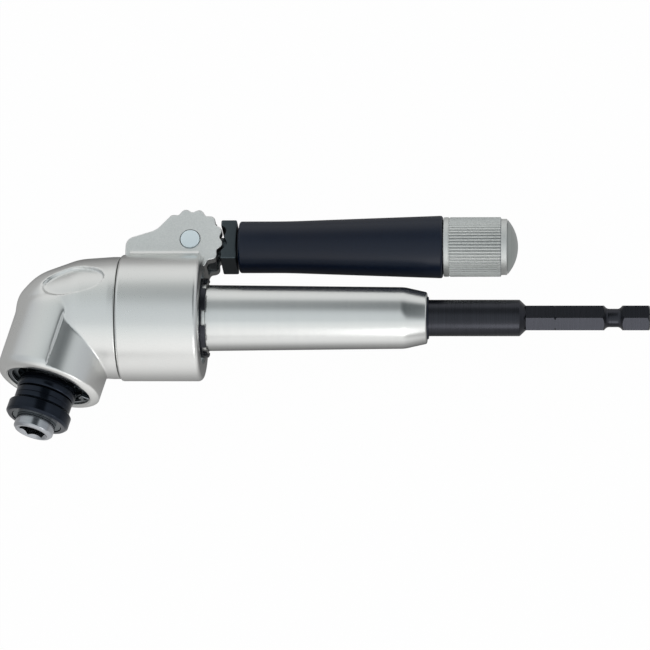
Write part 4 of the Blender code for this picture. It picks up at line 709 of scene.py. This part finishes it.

# %% [markdown]
# The sleeve's spring is a coil of four turns between its land and the stop ring. A small circle is swept up
# the axis by a Screw modifier and its ends are closed. The real one flattens as the sleeve is pulled.

# %% Sleeve spring
WIRE_RADIUS, WIRE_SIDES, SPRING_TURNS, SPRING_SEAT = 0.00025, 12, 4, 0.0001
COIL_STEPS, STOP_SETBACK = 32 * SPRING_TURNS, 0.0008
spring_low = SLEEVE_REAR + LAND_WIDTH + WIRE_RADIUS + SPRING_SEAT
spring_high = SLEEVE_FRONT - STOP_SETBACK - WIRE_RADIUS - SPRING_SEAT
coil_radius = (NOSE_RADIUS + CHAMBER) / 2
deselect()
bpy.ops.mesh.primitive_circle_add(vertices=WIRE_SIDES, radius=WIRE_RADIUS, rotation=(pi / 2, 0, 0),
                                  location=(coil_radius, 0, spring_low))
spring = placed("spring", Matrix())
apply_step(spring, "SCREW", angle=2 * pi * SPRING_TURNS, screw_offset=spring_high - spring_low,
           steps=COIL_STEPS, render_steps=COIL_STEPS, use_merge_vertices=False)
bpy.ops.object.mode_set(mode="EDIT")
bpy.ops.mesh.select_mode(type="EDGE")
bpy.ops.mesh.select_all(action="DESELECT")
bpy.ops.mesh.select_non_manifold()
bpy.ops.mesh.edge_face_add()
bpy.ops.mesh.select_all(action="SELECT")
bpy.ops.mesh.normals_make_consistent(inside=False)
settle(spring, OUTPUT)
finish(spring, bright_steel, "bright_steel", "output", "sleeve_spring")
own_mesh(spring)

# %% [markdown]
# The spindle is one turned bar from the socket back to the gear's seat. The socket is broached, so its
# corners are sharp, and the countersink leaves a small arc on each flat.

# %% Output spindle
SOCKET_FLATS, SOCKET_DEPTH, SOCKET_FLARE = 0.00645, 0.0125, 0.0006
NOSE_CHAMFER, SEAT_RADIUS, GEAR_SEAT, CLIP_SEAT = 0.0006, 0.00395, 0.0033, 0.0030
BEARING_MOUTH, HUB_END, GEAR_FRONT = 0.0183, 0.0111, 0.00338
STOP_GROOVE, STOP_GAP, CLIP_SPAN, SPINDLE_END = 0.0003, 0.0001, 0.8 * MM, 1.3 * MM
MAGNET_RADIUS, MAGNET_DEPTH, BALL_HOLE = 0.0030, 0.0014, 0.0013
socket_corner = SOCKET_FLATS / 2 / cos(pi / 6)
socket_end = NOSE_REACH - SOCKET_DEPTH
stop_high, stop_low = SLEEVE_FRONT - STOP_GAP, SLEEVE_FRONT - STOP_SETBACK - STOP_GAP
spindle_line = rounded([
    (0, NOSE_REACH), (NOSE_RADIUS - NOSE_CHAMFER, NOSE_REACH, CUT_EDGE),
    (NOSE_RADIUS, NOSE_REACH - NOSE_CHAMFER, 2 * CUT_EDGE),
    *stairs(NOSE_RADIUS, stop_high, NOSE_RADIUS - STOP_GROOVE, stop_low, NOSE_RADIUS, BEARING_MOUTH + GAP,
            SEAT_RADIUS, HUB_END + GAP, GEAR_SEAT, GEAR_FRONT - GAP, CLIP_SEAT, GEAR_FRONT - CLIP_SPAN,
            GEAR_SEAT, GEAR_FRONT - SPINDLE_END, 0)])
spindle = turned("spindle", spindle_line, OUTPUT, MEDIUM)
socket = cylinder("socket", socket_corner, socket_end, NOSE_REACH + PAST, OUTPUT, 6, pi / 2)
countersink = turned("countersink", [
    (0, NOSE_REACH + SOCKET_FLARE), (socket_corner + 1.5 * SOCKET_FLARE, NOSE_REACH + SOCKET_FLARE),
    (socket_corner - SOCKET_FLARE, NOSE_REACH - 1.5 * SOCKET_FLARE),
    (0, NOSE_REACH - 1.5 * SOCKET_FLARE)], OUTPUT, MEDIUM)
magnet_pocket = cylinder("magnet_pocket", MAGNET_RADIUS, socket_end - MAGNET_DEPTH, socket_end + GAP, OUTPUT)
ball_axis = axis_at(APEX + OUTPUT_WAY * (SLEEVE_REAR + LAND_WIDTH / 2), OUTPUT_SIDE, Z_WAY)
ball_hole = cylinder("ball_hole", BALL_HOLE, 0, NOSE_RADIUS + PAST, ball_axis)
combine(spindle, "DIFFERENCE", [socket, countersink, magnet_pocket, ball_hole])
finish(spindle, bright_steel, "bright_steel", "output", "output_spindle", sharp=25, flats=True)

# %% [markdown]
# ## The circlip in the mouth
# An open ring with an eye at each end, snapped into the mouth's groove. It is stamped, so its outline is
# drawn once and given its thickness. Its oxide is worn through to bright steel on the broken edges.

# %% Circlip
CLIP_LOW, CLIP_HIGH, CLIP_OUTER, CLIP_INNER = 0.0185, 0.0193, 0.01155, 0.01005
CLIP_GAP, LUG_SPAN, LUG_DEPTH, CLIP_EYE = radians(34), radians(15), 0.0013, 0.00055
start, end = CLIP_GAP / 2, 2 * pi - CLIP_GAP / 2
lug_inner = CLIP_INNER - LUG_DEPTH
clip_outline = (arc((0, 0), CLIP_OUTER, start, end, 72) + arc((0, 0), lug_inner, end, end - LUG_SPAN, 5) +
                arc((0, 0), CLIP_INNER, end - LUG_SPAN * 1.15, start + LUG_SPAN * 1.15, 64) +
                arc((0, 0), lug_inner, start + LUG_SPAN, start, 5))
clip = plate("circlip", clip_outline, CLIP_LOW, CLIP_HIGH, OUTPUT, KEEN_EDGE, 2)
eye_middle = (CLIP_OUTER + lug_inner) / 2
eyes = [cylinder("clip_eye", CLIP_EYE, CLIP_LOW - MM, CLIP_HIGH + MM,
                 OUTPUT @ Matrix.Translation(Vector((cos(angle), sin(angle), 0)) * eye_middle), 24)
        for angle in (start + LUG_SPAN / 2, end - LUG_SPAN / 2)]
combine(clip, "DIFFERENCE", eyes)
finish(clip, black_steel, "black_steel", "housing", "mouth_circlip", sharp=50)
repaint(clip, bright_steel,
        lambda face: NEARLY_UPRIGHT < abs(face.normal.dot(OUTPUT_WAY)) < NEARLY_FLAT)

# %% [markdown]
# ## The bearing races in the mouth
# The output bearing's outer race and the cage's balls can be seen past the circlip. The races are ground
# steel, turned again here, and the balls keep their solids. Races, cage and balls get the dark blackened
# steel, as painted shade for the dark inside the mouth.

# %% Bearing races
RACE_BORE, RACE_RIM, RACE_LOW, RACE_WIDTH = 0.0040, 0.0110, 0.0113, 0.0070
BALL_RADIUS, BALL_GAP, LIP_SHARE = 0.0019, 0.05 * MM, 0.62


def race(name, outer):
    """One race of the output bearing, with the groove that its balls run in."""
    pitch, groove = (RACE_BORE + RACE_RIM) / 2, BALL_RADIUS + BALL_GAP
    low, halfway, high = RACE_LOW, RACE_LOW + RACE_WIDTH / 2, RACE_LOW + RACE_WIDTH
    lip = BALL_RADIUS * LIP_SHARE
    swing = atan2(sqrt(groove ** 2 - lip ** 2), lip)
    if outer:
        line = [(RACE_RIM, high), (RACE_RIM, low), (pitch + lip, low),
                *arc((pitch, halfway), groove, -swing, swing, 12), (pitch + lip, high)]
    else:
        line = [(pitch - lip, high), *arc((pitch, halfway), groove, pi - swing, pi + swing, 12),
                (pitch - lip, low), (RACE_BORE, low), (RACE_BORE, high)]
    return turned(name, line, OUTPUT, MEDIUM, closed=True)


for node, body in (("output_bearing_outer", "housing"), ("output_bearing_inner", "output")):
    piece = race(node.replace("output_bearing", "race"), body == "housing")
    # Painted shade: the races get the dark blackened steel, not their bright steel.
    finish(piece, black_steel, "bright_steel", body, node)

# %% [markdown]
# ## The swivel collar
# The collar turns on the neck and carries two ears for the handle. It is one casting, turned on the outside.
# The ears are plates with a lobed edge, and the foot under them is drawn along the barrel with a hollow
# fillet on each side.

# %% Outline of the ears
LOBES, LOBE_TIP, LOBE_DEPTH, LOBE_FULLNESS, LOBE_PHASE = 13, 0.0086, 0.00086, 0.09, radians(18.4)
LOBE_FIRST, LOBE_LAST = -3, 4
EAR_HALF, EAR_ROOT, EAR_FILLET, SLOT_HALF = 0.00545, 0.0124, 0.0025, 0.0029
EAR_EDGE = 0.00035
SHOULDER_END, EAR_HEEL = -0.0168, 0.0036
SHOULDER_BEND, SHOULDER_CORNER = (-0.0090, 0.0027, 0.0050), (SHOULDER_END, 0.0001, 0.0026)


def lobes(extra, first, last, steps=14):
    """Points along the lobed edge, from one lobe's tip to another's."""
    points = []
    for step in range(steps * first, steps * last + 1):
        phase = 2 * pi * step / steps
        swell = cos(phase) + LOBE_FULLNESS * (1 - cos(2 * phase))
        angle = LOBE_PHASE + phase / LOBES
        radius = LOBE_TIP - LOBE_DEPTH / 2 + LOBE_DEPTH / 2 * swell + extra
        points.append(Vector((radius * cos(angle), radius * sin(angle))))
    return points


edge_points = lobes(0, LOBE_FIRST, LOBE_LAST)
root = EAR_ROOT - PIVOT_PLACE.y
shoulder = rounded([edge_points[-1], SHOULDER_BEND, SHOULDER_CORNER, (SHOULDER_END, root),
                    (EAR_HEEL, root)], steps=12)
print("ear outline:", len(edge_points) + len(shoulder) - 1, "points")

# %% [markdown]
# The clevis slot is cut through the ears and a little into the collar, to let the eye of the rod turn, and
# the pin's hole goes through both ears. The turned part of the collar is rubbed smoother than the flat ears,
# which keep the coarse skin of the blasting, so their faces have a second finish.

# %% Collar with ears
COLLAR_FRONT, COLLAR_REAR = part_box("swivel_collar")[0].x, -0.1152
COLLAR_RADIUS, COLLAR_ROUND, COLLAR_LIP = 0.0164, 0.0013, 0.0007
COUNTERBORE, FOOT_SETBACK = 0.0118, 0.0013
collar_bore, collar_floor = NECK_RADIUS + SLIDING_GAP, WASHER[0].x - GAP
collar = ring("collar", [
    (COLLAR_RADIUS, COLLAR_REAR, COLLAR_ROUND), (COLLAR_RADIUS, COLLAR_FRONT, COLLAR_LIP),
    (collar_bore, COLLAR_FRONT), *stairs(collar_bore, collar_floor, COUNTERBORE),
    (COUNTERBORE, COLLAR_REAR, CUT_EDGE)], BARREL, FINEST, arc_steps=8)
height, span = EAR_HALF + EAR_FILLET, COLLAR_RADIUS + EAR_FILLET
level = sqrt(span ** 2 - height ** 2)
lean = atan2(height, level)
foot = [Vector((EAR_ROOT, EAR_ROOT * tan(lean)))]
foot += arc((level, height), EAR_FILLET, pi + lean, 3 * pi / 2, 16)
foot += [Vector((point.x, -point.y)) for point in reversed(foot)]
foot_front = PIVOT_PLACE.x + SHOULDER_END + FOOT_SETBACK
saddle = plate("ear_foot", foot, foot_front, COLLAR_REAR - COLLAR_ROUND, BARREL)
ears = plate("ears", edge_points + shoulder[1:], -EAR_HALF, EAR_HALF, PIVOT, EAR_EDGE)
combine(collar, "UNION", [saddle, ears])
SLOT_REACH, SLOT_ROUND, PIN_BORE = 0.0069, 0.0065, 0.00272
slot_outline = rounded([
    (2 * SLOT_REACH, -SLOT_REACH), (-SLOT_REACH, -SLOT_REACH, SLOT_ROUND), (-SLOT_REACH, 2 * SLOT_REACH),
    (2 * SLOT_REACH, 2 * SLOT_REACH)], steps=20)
clevis = plate("clevis_slot", slot_outline, -SLOT_HALF, SLOT_HALF, PIVOT)
pin_bore = cylinder("pin_bore", PIN_BORE, -2 * EAR_HALF, 2 * EAR_HALF, PIVOT)
combine(collar, "DIFFERENCE", [clevis, pin_bore])
finish(collar, cast_nickel, "cast_nickel", "collar", "swivel_collar", sharp=32, flats=True)


def on_flank(face):
    """Whether a face of the collar is one of the ears' flat sides."""
    return (abs(face.normal.z) > NEARLY_FLAT and abs(face.center.z) > EAR_HALF - EAR_EDGE / 2
            and face.center.y > EAR_ROOT)


repaint(collar, blasted_nickel, on_flank)

# %% [markdown]
# ## The pivot pin
# A zinc plated pin with a slightly domed head that stands just proud of the ear. Its clip is at the other
# end. A cylinder would do for the head that shows, but the turned line also has the groove that the clip sits
# in.

# %% Pin
PIN_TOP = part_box("pivot_pin")[1].z
PIN_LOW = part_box("pivot_pin")[0].z
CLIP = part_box("pin_clip")
PIN_RADIUS, PIN_GROOVE, PIN_DOME, CLIP_PLAY = 0.0025, 0.0022, 0.02 * MM, 0.05 * MM
pin_line = rounded([
    (0, PIN_TOP), (PIN_RADIUS, PIN_TOP - PIN_DOME, CUT_EDGE),
    *stairs(PIN_RADIUS, CLIP[1].z + CLIP_PLAY, PIN_GROOVE, CLIP[0].z - CLIP_PLAY, PIN_RADIUS),
    (PIN_RADIUS, PIN_LOW, SOFT_EDGE), (0, PIN_LOW)])
finish(turned("pin", pin_line, PIVOT, MEDIUM), zinc_steel, "zinc_steel", "collar", "pivot_pin")

# %% [markdown]
# ## The handle
# The rod's flat eye turns on the pin. The lock block slides on the rod, and its hollow face meshes with the
# lobes, so that the handle locks at any of 13 angles a turn. The knob screws along the rod and pushes the
# grip and the block home. The eye is a plate and the stem a bar, joined into one piece.

# %% Rod
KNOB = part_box("knurled_knob")
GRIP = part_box("grip")
EYE_RADIUS, ROD_RADIUS, TONGUE_REACH = 0.0065, 0.0025, 0.0066
eye_start = atan2(EAR_HALF, sqrt(EYE_RADIUS ** 2 - EAR_HALF ** 2))
eye_outline = arc((0, 0), EYE_RADIUS, eye_start, 2 * pi - eye_start, 60)
eye_outline += [Vector((TONGUE_REACH, -EAR_HALF)), Vector((TONGUE_REACH, EAR_HALF))]
rod = plate("rod", eye_outline, -SLOT_HALF + SLIDING_GAP, SLOT_HALF - SLIDING_GAP, PIVOT, CUT_EDGE, 2)
stem = cylinder("rod_stem", ROD_RADIUS, PIVOT_PLACE.x + TONGUE_REACH / 2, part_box("handle_rod")[1].x, HANDLE)
combine(rod, "UNION", [stem])
combine(rod, "DIFFERENCE", [cylinder("eye_bore", PIN_RADIUS + SLIDING_GAP, -EAR_HALF, EAR_HALF, PIVOT)])
finish(rod, black_steel, "black_steel", "handle", "handle_rod", flats=True)

# %% [markdown]
# The block starts as a bar with broken edges, and the same lobes that shape the ears are cut out of its face,
# a little larger and moved by its travel. One formula for both keeps them in mesh, which two drawn curves
# would not.

# %% Lock block
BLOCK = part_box("lock_block")
LOCK_TRAVEL = JOINTS["lock_slide"]["range_m"][1]
BLOCK_EDGE, LOBE_ROOM = 0.0004, 0.0002
lock_block = cuboid("block", (BLOCK[0] + BLOCK[1]) / 2, BLOCK[1] - BLOCK[0], Matrix())
bpy.ops.object.mode_set(mode="EDIT")
break_edges(BLOCK_EDGE)
deselect()
lobe_cutter = plate("lobe_cutter", lobes(LOBE_ROOM, 0, LOBES)[:-1], -2 * EAR_HALF, 2 * EAR_HALF,
                    PIVOT @ Matrix.Translation((LOCK_TRAVEL, 0, 0)))
rod_bore = cylinder("rod_bore", ROD_RADIUS + SLIDING_GAP, BLOCK[0].x - PAST, BLOCK[1].x + PAST, HANDLE)
combine(lock_block, "DIFFERENCE", [lobe_cutter, rod_bore])
finish(lock_block, black_steel, "black_steel", "lock", "lock_block", flats=True)

# %% [markdown]
# The grip is a moulded sleeve: straight for its first quarter, then widening to the knob in one long curve.
# The curve is a fillet of 0.2 m on the corner between the two, so no point has to be placed along it.

# %% Grip
GRIP_LEFT, GRIP_RIGHT, GRIP_STRAIGHT, GRIP_CURVE = BLOCK[1].x + 0.5 * MM, GRIP[1].x, 0.0125, 0.2
GRIP_START_RADIUS, GRIP_END_RADIUS, GRIP_EDGE = 0.00675, 0.00815, 0.0006
COLLET_RADIUS, POCKET_RADIUS, POCKET_DEPTH = 0.0046, 0.0060, 0.0010
grip_bore, grip_tip, pocket = ROD_RADIUS + SLIDING_GAP, BLOCK[1].x + GAP, GRIP_RIGHT - POCKET_DEPTH
grip = ring("handle_grip", [
    (GRIP_END_RADIUS, GRIP_RIGHT, GRIP_EDGE), (GRIP_START_RADIUS, GRIP_LEFT + GRIP_STRAIGHT, GRIP_CURVE),
    (GRIP_START_RADIUS, GRIP_LEFT, GRIP_EDGE), (COLLET_RADIUS, GRIP_LEFT),
    *stairs(COLLET_RADIUS, grip_tip, grip_bore, pocket, POCKET_RADIUS, GRIP_RIGHT)], HANDLE, arc_steps=12)
finish(grip, black_plastic, "black_plastic", "lock", "grip")

# %% [markdown]
# The knob has 58 straight ridges. It is turned with four points to a ridge, and every second pair is then
# scaled in towards the axis, which sinks all the valleys at once. A wheel pressed the ridges. Their valley
# faces get a darker grey and a stronger bump, and the darker grey is painted shade.

# %% Knob with its ridges
RIDGES, RIDGE_DEPTH, KNOB_RADIUS, KNOB_SHOULDER, KNOB_BORE = 58, 0.00042, 0.00775, 0.0073, 0.0026
BAND, STEP, CAP_SEAT, CAP_DEPTH = 0.0015, 0.0002, 0.0051, 0.0026
RIDGE_POINTS = RIDGES * 4
VALLEY_SHARE = 0.7
KNURL_LEFT, KNURL_RIGHT = KNOB[0].x + BAND, KNOB[1].x - BAND
knob_line = [
    (KNOB_BORE, KNOB[0].x), (KNOB_RADIUS, KNOB[0].x, SOFT_EDGE), (KNOB_RADIUS, KNURL_LEFT - STEP),
    (KNOB_RADIUS - STEP, KNURL_LEFT - STEP / 2), (KNOB_RADIUS - STEP, KNURL_LEFT),
    (KNOB_RADIUS, KNURL_LEFT + STEP), (KNOB_RADIUS, KNURL_RIGHT - STEP),
    (KNOB_SHOULDER, KNURL_RIGHT), (KNOB_SHOULDER, KNOB[1].x, CUT_EDGE), (CAP_SEAT, KNOB[1].x),
    *stairs(CAP_SEAT, KNOB[1].x - CAP_DEPTH, KNOB_BORE)]


def from_handle(point):
    """How far a point lies from the handle's axis."""
    return hypot(point.y - PIVOT_PLACE.y, point.z)


def in_valley(face):
    """Whether a face of the knob lies in one of its valleys."""
    low, high = KNOB_SHOULDER - RIDGE_DEPTH, KNOB_RADIUS - VALLEY_SHARE * RIDGE_DEPTH
    return KNURL_LEFT < face.center.x < KNURL_RIGHT and low < from_handle(face.center) < high


knob = ring("knob", knob_line, HANDLE, RIDGE_POINTS)
hold(knob)
bpy.context.tool_settings.mesh_select_mode = (True, False, False)
for item in (*knob.data.polygons, *knob.data.edges):
    item.select = False
for vertex in knob.data.vertices:
    local = HANDLE.inverted() @ vertex.co
    step = round(atan2(local.y, local.x) / (2 * pi) * RIDGE_POINTS) % 4
    inside = KNURL_LEFT + GAP < local.z < KNURL_RIGHT - GAP
    vertex.select = step in (2, 3) and inside and from_handle(vertex.co) > KNOB_SHOULDER
print("valley points:", sum(vertex.select for vertex in knob.data.vertices))
sink = 1 - RIDGE_DEPTH / KNOB_RADIUS
bpy.ops.object.mode_set(mode="EDIT")
bpy.ops.transform.resize(value=(1, sink, sink), center_override=(0, PIVOT_PLACE.y, 0))
finish(knob, knurled_aluminium, "knurled_aluminium", "knob", "knurled_knob", sharp=25)
# Painted shade: the valley faces are painted the darker grey.
repaint(knob, knurl_valley_shade, in_valley)

# %% [markdown]
# A domed aluminium cap is pressed into the end of the knob. A squashed ball would be too steep at its rim, so
# the dome is one arc, worked out from its rim and its height, and turned.

# %% Cap
CAP_BASE = KNOB[1].x + GAP
CAP_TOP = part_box("knob_cap")[1].x
CAP_STEM = 0.0050
cap_rim, cap_height = KNOB_SHOULDER - 2 * GAP, CAP_TOP - CAP_BASE
bow = (cap_rim ** 2 + cap_height ** 2) / (2 * cap_height)
swing = atan2(cap_rim, bow - cap_height)
crown = [Vector((point.y, point.x)) for point in arc((CAP_TOP - bow, 0), bow, 0, swing, 24)]
crown[0].x = 0
cap_stem = [(CAP_STEM, CAP_BASE), (CAP_STEM, CAP_BASE - CAP_DEPTH), (0, CAP_BASE - CAP_DEPTH)]
finish(turned("cap", crown + cap_stem, HANDLE, MEDIUM), cap_aluminium, "cap_aluminium", "knob", "knob_cap")

# %% [markdown]
# ## The hidden pieces
# Gears, key, spacer, clips, balls and magnet are inside, and show only from some sides or when the sleeve
# moves. They could be drawn again as the rest is, but their solids are right as they are and only get their
# finishes.

# %% Finish the solids that stay
KEPT = {
    "input_pinion": gear_steel, "output_gear": gear_steel, "gear_key": gear_steel, "input_spacer": gear_steel,
    "pinion_pin": bright_steel, "socket_magnet": bright_steel, "detent_ball": bright_steel,
    # Painted shade: the output cage and its balls, seen in the mouth, get the dark blackened steel.
    "input_ball_cage": bright_steel, "output_ball_cage": black_steel,
    "input_bearing_inner": bright_steel, "input_bearing_outer": bright_steel, "grip_washer": zinc_steel,
    "gear_clip": black_steel, "sleeve_stop_ring": black_steel, "pin_clip": black_steel}
for node, material in KEPT.items():
    mesh = frame["nodes"][node].data
    mesh.materials.clear()
    mesh.materials.append(material)
print(len(MADE), "pieces made,", len(KEPT), "solids kept")

# %% [markdown]
# ## Floor and light
# A white floor just under the head. To the camera it is the photograph's white with a little of the shadow
# left. Metal sees the floor painted in greys along Y instead: white in front of the object, then darker under
# it and behind it. That darker grey is painted shade in place of the object's shadow, so that each round piece
# darkens at its lower edge and at its far edge. Each stop is a place along Y and a grey. Past both ends of the
# object the painted shade gives way to a lighter grey, which lights the cap and the shank from below.

# %% Floor
FLOOR_Z, FLOOR_SIZE, MIDDLE_X = CAD_BOUNDS[0].z - 2 * GAP, 6, -0.08
SEEN_WHITE = 0.98
FLOOR_NEAR, FLOOR_FAR = -0.10, 0.10
# Painted shade: these greys are seen only in reflections, and they darken the floor under and behind the
# object.
PAINTED_SHADE_STOPS = (
    (-0.100, "#ffffff"), (-0.055, "#fbfbfb"), (-0.042, "#f2f2f2"), (-0.030, "#d6d6d6"), (-0.0245, "#bababa"),
    (-0.0174, "#a0a0a0"), (-0.0104, "#7c7c7c"), (0.0, "#5a5a5a"), (0.020, "#5a5a5a"), (0.046, "#808080"),
    (0.100, "#aaaaaa"))
SHADE_MIDDLE, SHADE_REACH, SHADE_SOFT, GREY_PAST_SHADE = -0.105, 0.065, 0.02, "#b4b4b4"
deselect()
bpy.ops.mesh.primitive_grid_add(x_subdivisions=2, y_subdivisions=2, size=FLOOR_SIZE,
                                location=(MIDDLE_X, 0, FLOOR_Z))
floor = placed("floor", Matrix())


def painted(tree, value, stops, low, high, unit=1.0):
    """The colour at a value, from stops (value, hex) between low and high, in a unit of the value."""
    place = add_node(tree, "ShaderNodeMapRange", [("Value", value)], From_Min=low * unit,
                     From_Max=high * unit)
    node = add_node(tree, "ShaderNodeValToRGB", [("Fac", place.outputs["Result"])])
    elements = node.color_ramp.elements
    while len(elements) < len(stops):
        elements.new(0.5)
    for element, (at, colour) in zip(elements, stops):
        element.position = (at - low) / (high - low)
        element.color = linear(colour)
    return node.outputs["Color"]


def eased(tree, value, low, high):
    """A soft step from 0 to 1 while a value goes from low to high."""
    return add_node(tree, "ShaderNodeMapRange", [("Value", value)], interpolation_type="SMOOTHSTEP",
                    From_Min=low, From_Max=high).outputs["Result"]


floor_finish, tree, plain = new_finish("white_floor", Roughness=0.9, Base_Color=linear("#f4f4f4"))
rays = add_node(tree, "ShaderNodeLightPath")
where = add_node(tree, "ShaderNodeTexCoord")
parts = add_node(tree, "ShaderNodeSeparateXYZ", [("Vector", where.outputs["Object"])])
# The painted shade along Y, turned to a lighter grey past both ends of the object.
painted_shade_grey = painted(tree, parts.outputs["Y"], PAINTED_SHADE_STOPS, FLOOR_NEAR, FLOOR_FAR)
apart = reckon(tree, "ABSOLUTE", reckon(tree, "SUBTRACT", parts.outputs["X"], SHADE_MIDDLE))
beyond = eased(tree, apart, SHADE_REACH - SHADE_SOFT, SHADE_REACH + SHADE_SOFT)
shaded_ground = blend(tree, beyond, painted_shade_grey, GREY_PAST_SHADE)
shade_sheet = add_node(tree, "ShaderNodeEmission", [("Color", shaded_ground)])
below = mixed(tree, rays.outputs["Is Glossy Ray"], plain.outputs["BSDF"], shade_sheet.outputs["Emission"])
seen = reckon(tree, "MULTIPLY", straight_rays(tree), SEEN_WHITE)
white = add_node(tree, "ShaderNodeEmission", Color=(1, 1, 1, 1))
lit = mixed(tree, seen, below, white.outputs["Emission"])
tree.links.new(lit, tree.nodes["Material Output"].inputs["Surface"])
floor.data.materials.append(floor_finish)
print("floor at", round(FLOOR_Z / MM, 2), "mm")

# %% [markdown]
# Metal shows what is round it, so the studio is painted into the world: wide soft panels that lie along the
# barrel. Each stop is an angle about the barrel, from straight up towards the handle's side, and the light
# that comes from there. The brightest panel stands in front.
#
# The camera and its stand leave a dark strip high up behind the light. The strip is wide over the driver's
# end and runs out over the head, so the tube has a darker band, its cone a dark patch, and the head nearly
# none.

# %% World
PANELS = (
    (-180, "#9a9a9a"), (-95, "#f8f8f8"), (-70, "#f0f0f0"), (-45, "#dce1e2"), (-26, "#dfe5e8"), (0, "#dde3e6"),
    (25, "#d6dcdd"), (45, "#e2e5e5"), (62, "#f2f3f3"), (80, "#f0f1f1"), (92, "#d8dada"), (112, "#9c9e9e"),
    (180, "#7c7d7d"))
END_LIGHT, STRIP_DARK = "#c4c8cc", "#505659"
STRIP_LEAN, STRIP_START, STRIP_END, STRIP_SOFT = radians(75), radians(5), radians(44), radians(8)
STRIP_THIN, STRIP_FULL, STRIP_REACH, REACH_SOFT = -0.22, 0.06, 0.52, 0.08
END_START, END_FULL = 0.55, 0.95
world = bpy.data.worlds.new("studio")
bpy.context.scene.world = world
world.use_nodes = True
sky = world.node_tree
toward = add_node(sky, "ShaderNodeTexCoord")
parts = add_node(sky, "ShaderNodeSeparateXYZ", [("Vector", toward.outputs["Generated"])])
turn = reckon(sky, "ARCTAN2", parts.outputs["Y"], parts.outputs["Z"])
bands = painted(sky, turn, PANELS, -180, 180, radians(1))
leaning = reckon(sky, "MULTIPLY_ADD", parts.outputs["X"], STRIP_LEAN, turn)
above = eased(sky, leaning, STRIP_START - STRIP_SOFT, STRIP_START + STRIP_SOFT)
within = eased(sky, turn, STRIP_END + STRIP_SOFT, STRIP_END - STRIP_SOFT)
short = eased(sky, parts.outputs["X"], STRIP_REACH + REACH_SOFT, STRIP_REACH - REACH_SOFT)
full = eased(sky, parts.outputs["X"], STRIP_THIN, STRIP_FULL)
strip = reckon(sky, "MULTIPLY", reckon(sky, "MULTIPLY", above, within), reckon(sky, "MULTIPLY", full, short))
shaded = blend(sky, strip, bands, STRIP_DARK)
at_end = eased(sky, reckon(sky, "ABSOLUTE", parts.outputs["X"]), END_START, END_FULL)
around = blend(sky, at_end, shaded, END_LIGHT)
studio = add_node(sky, "ShaderNodeBackground", [("Color", around)])
bright = add_node(sky, "ShaderNodeBackground", Color=(1, 1, 1, 1))
both = mixed(sky, straight_rays(sky), studio.outputs["Background"], bright.outputs["Background"])
sky.links.new(both, sky.nodes["World Output"].inputs["Surface"])
print("the studio has", len(PANELS), "panels")

# %% [markdown]
# One wide lamp in front adds the soft direction of light that a world alone lacks. A small one stands low
# before the shank, as a photographer sets it to draw the lower edges of black steel.

# %% Lamps
def area_lamp(name, place, aim, size, power):
    """A soft rectangular lamp that looks at a point."""
    light = bpy.data.lights.new(name, "AREA")
    light.shape = "RECTANGLE"
    light.size, light.size_y = size
    light.energy = power
    lamp = bpy.data.objects.new(name, light)
    bpy.context.scene.collection.objects.link(lamp)
    lamp.location = place
    lamp.rotation_euler = (Vector(aim) - Vector(place)).to_track_quat("-Z", "Y").to_euler()
    print(name, round(Vector(place).length, 2), "m away")


area_lamp("front_light", place=(MIDDLE_X, -0.85, 0.45), aim=(MIDDLE_X, 0, 0), size=(1.4, 0.9), power=0.8)
area_lamp("shank_light", place=(-0.015, -0.30, 0.07), aim=(-0.015, 0, 0), size=(0.10, 0.15), power=0.09)

# %% [markdown]
# ## The camera
# The photograph looks down at the object, 67.5 degrees above the floor, with a long lens and a turn of about
# four degrees, so that the driver's end is a little nearer. The camera's place could be tried by hand. Here
# it was worked out from the straight edges of the barrel and of the two shafts, so lines up without trying.

# %% Camera
LENS, SENSOR, CLIP_NEAR, CLIP_FAR = 183.2, 36.0, 0.01, 20
EYE = Vector((-0.02474, -0.32810, 0.78738))
AIM = Vector((-0.08364, -0.00167, -0.00069))
PHI = radians(22.5)
up = Vector((0, cos(PHI), sin(PHI)))
backward = (EYE - AIM).normalized()
right = up.cross(backward).normalized()
camera_data = bpy.data.cameras.new("camera")
camera_data.lens, camera_data.sensor_width = LENS, SENSOR
camera_data.clip_start, camera_data.clip_end = CLIP_NEAR, CLIP_FAR
camera = bpy.data.objects.new("camera", camera_data)
camera.matrix_world = Matrix.Translation(EYE) @ Matrix(
    (right, backward.cross(right), backward)).transposed().to_4x4()
bpy.context.scene.collection.objects.link(camera)
bpy.context.scene.camera = camera
bpy.context.scene.view_settings.view_transform = "Standard"

# %% [markdown]

# %% Let go of everything
deselect()
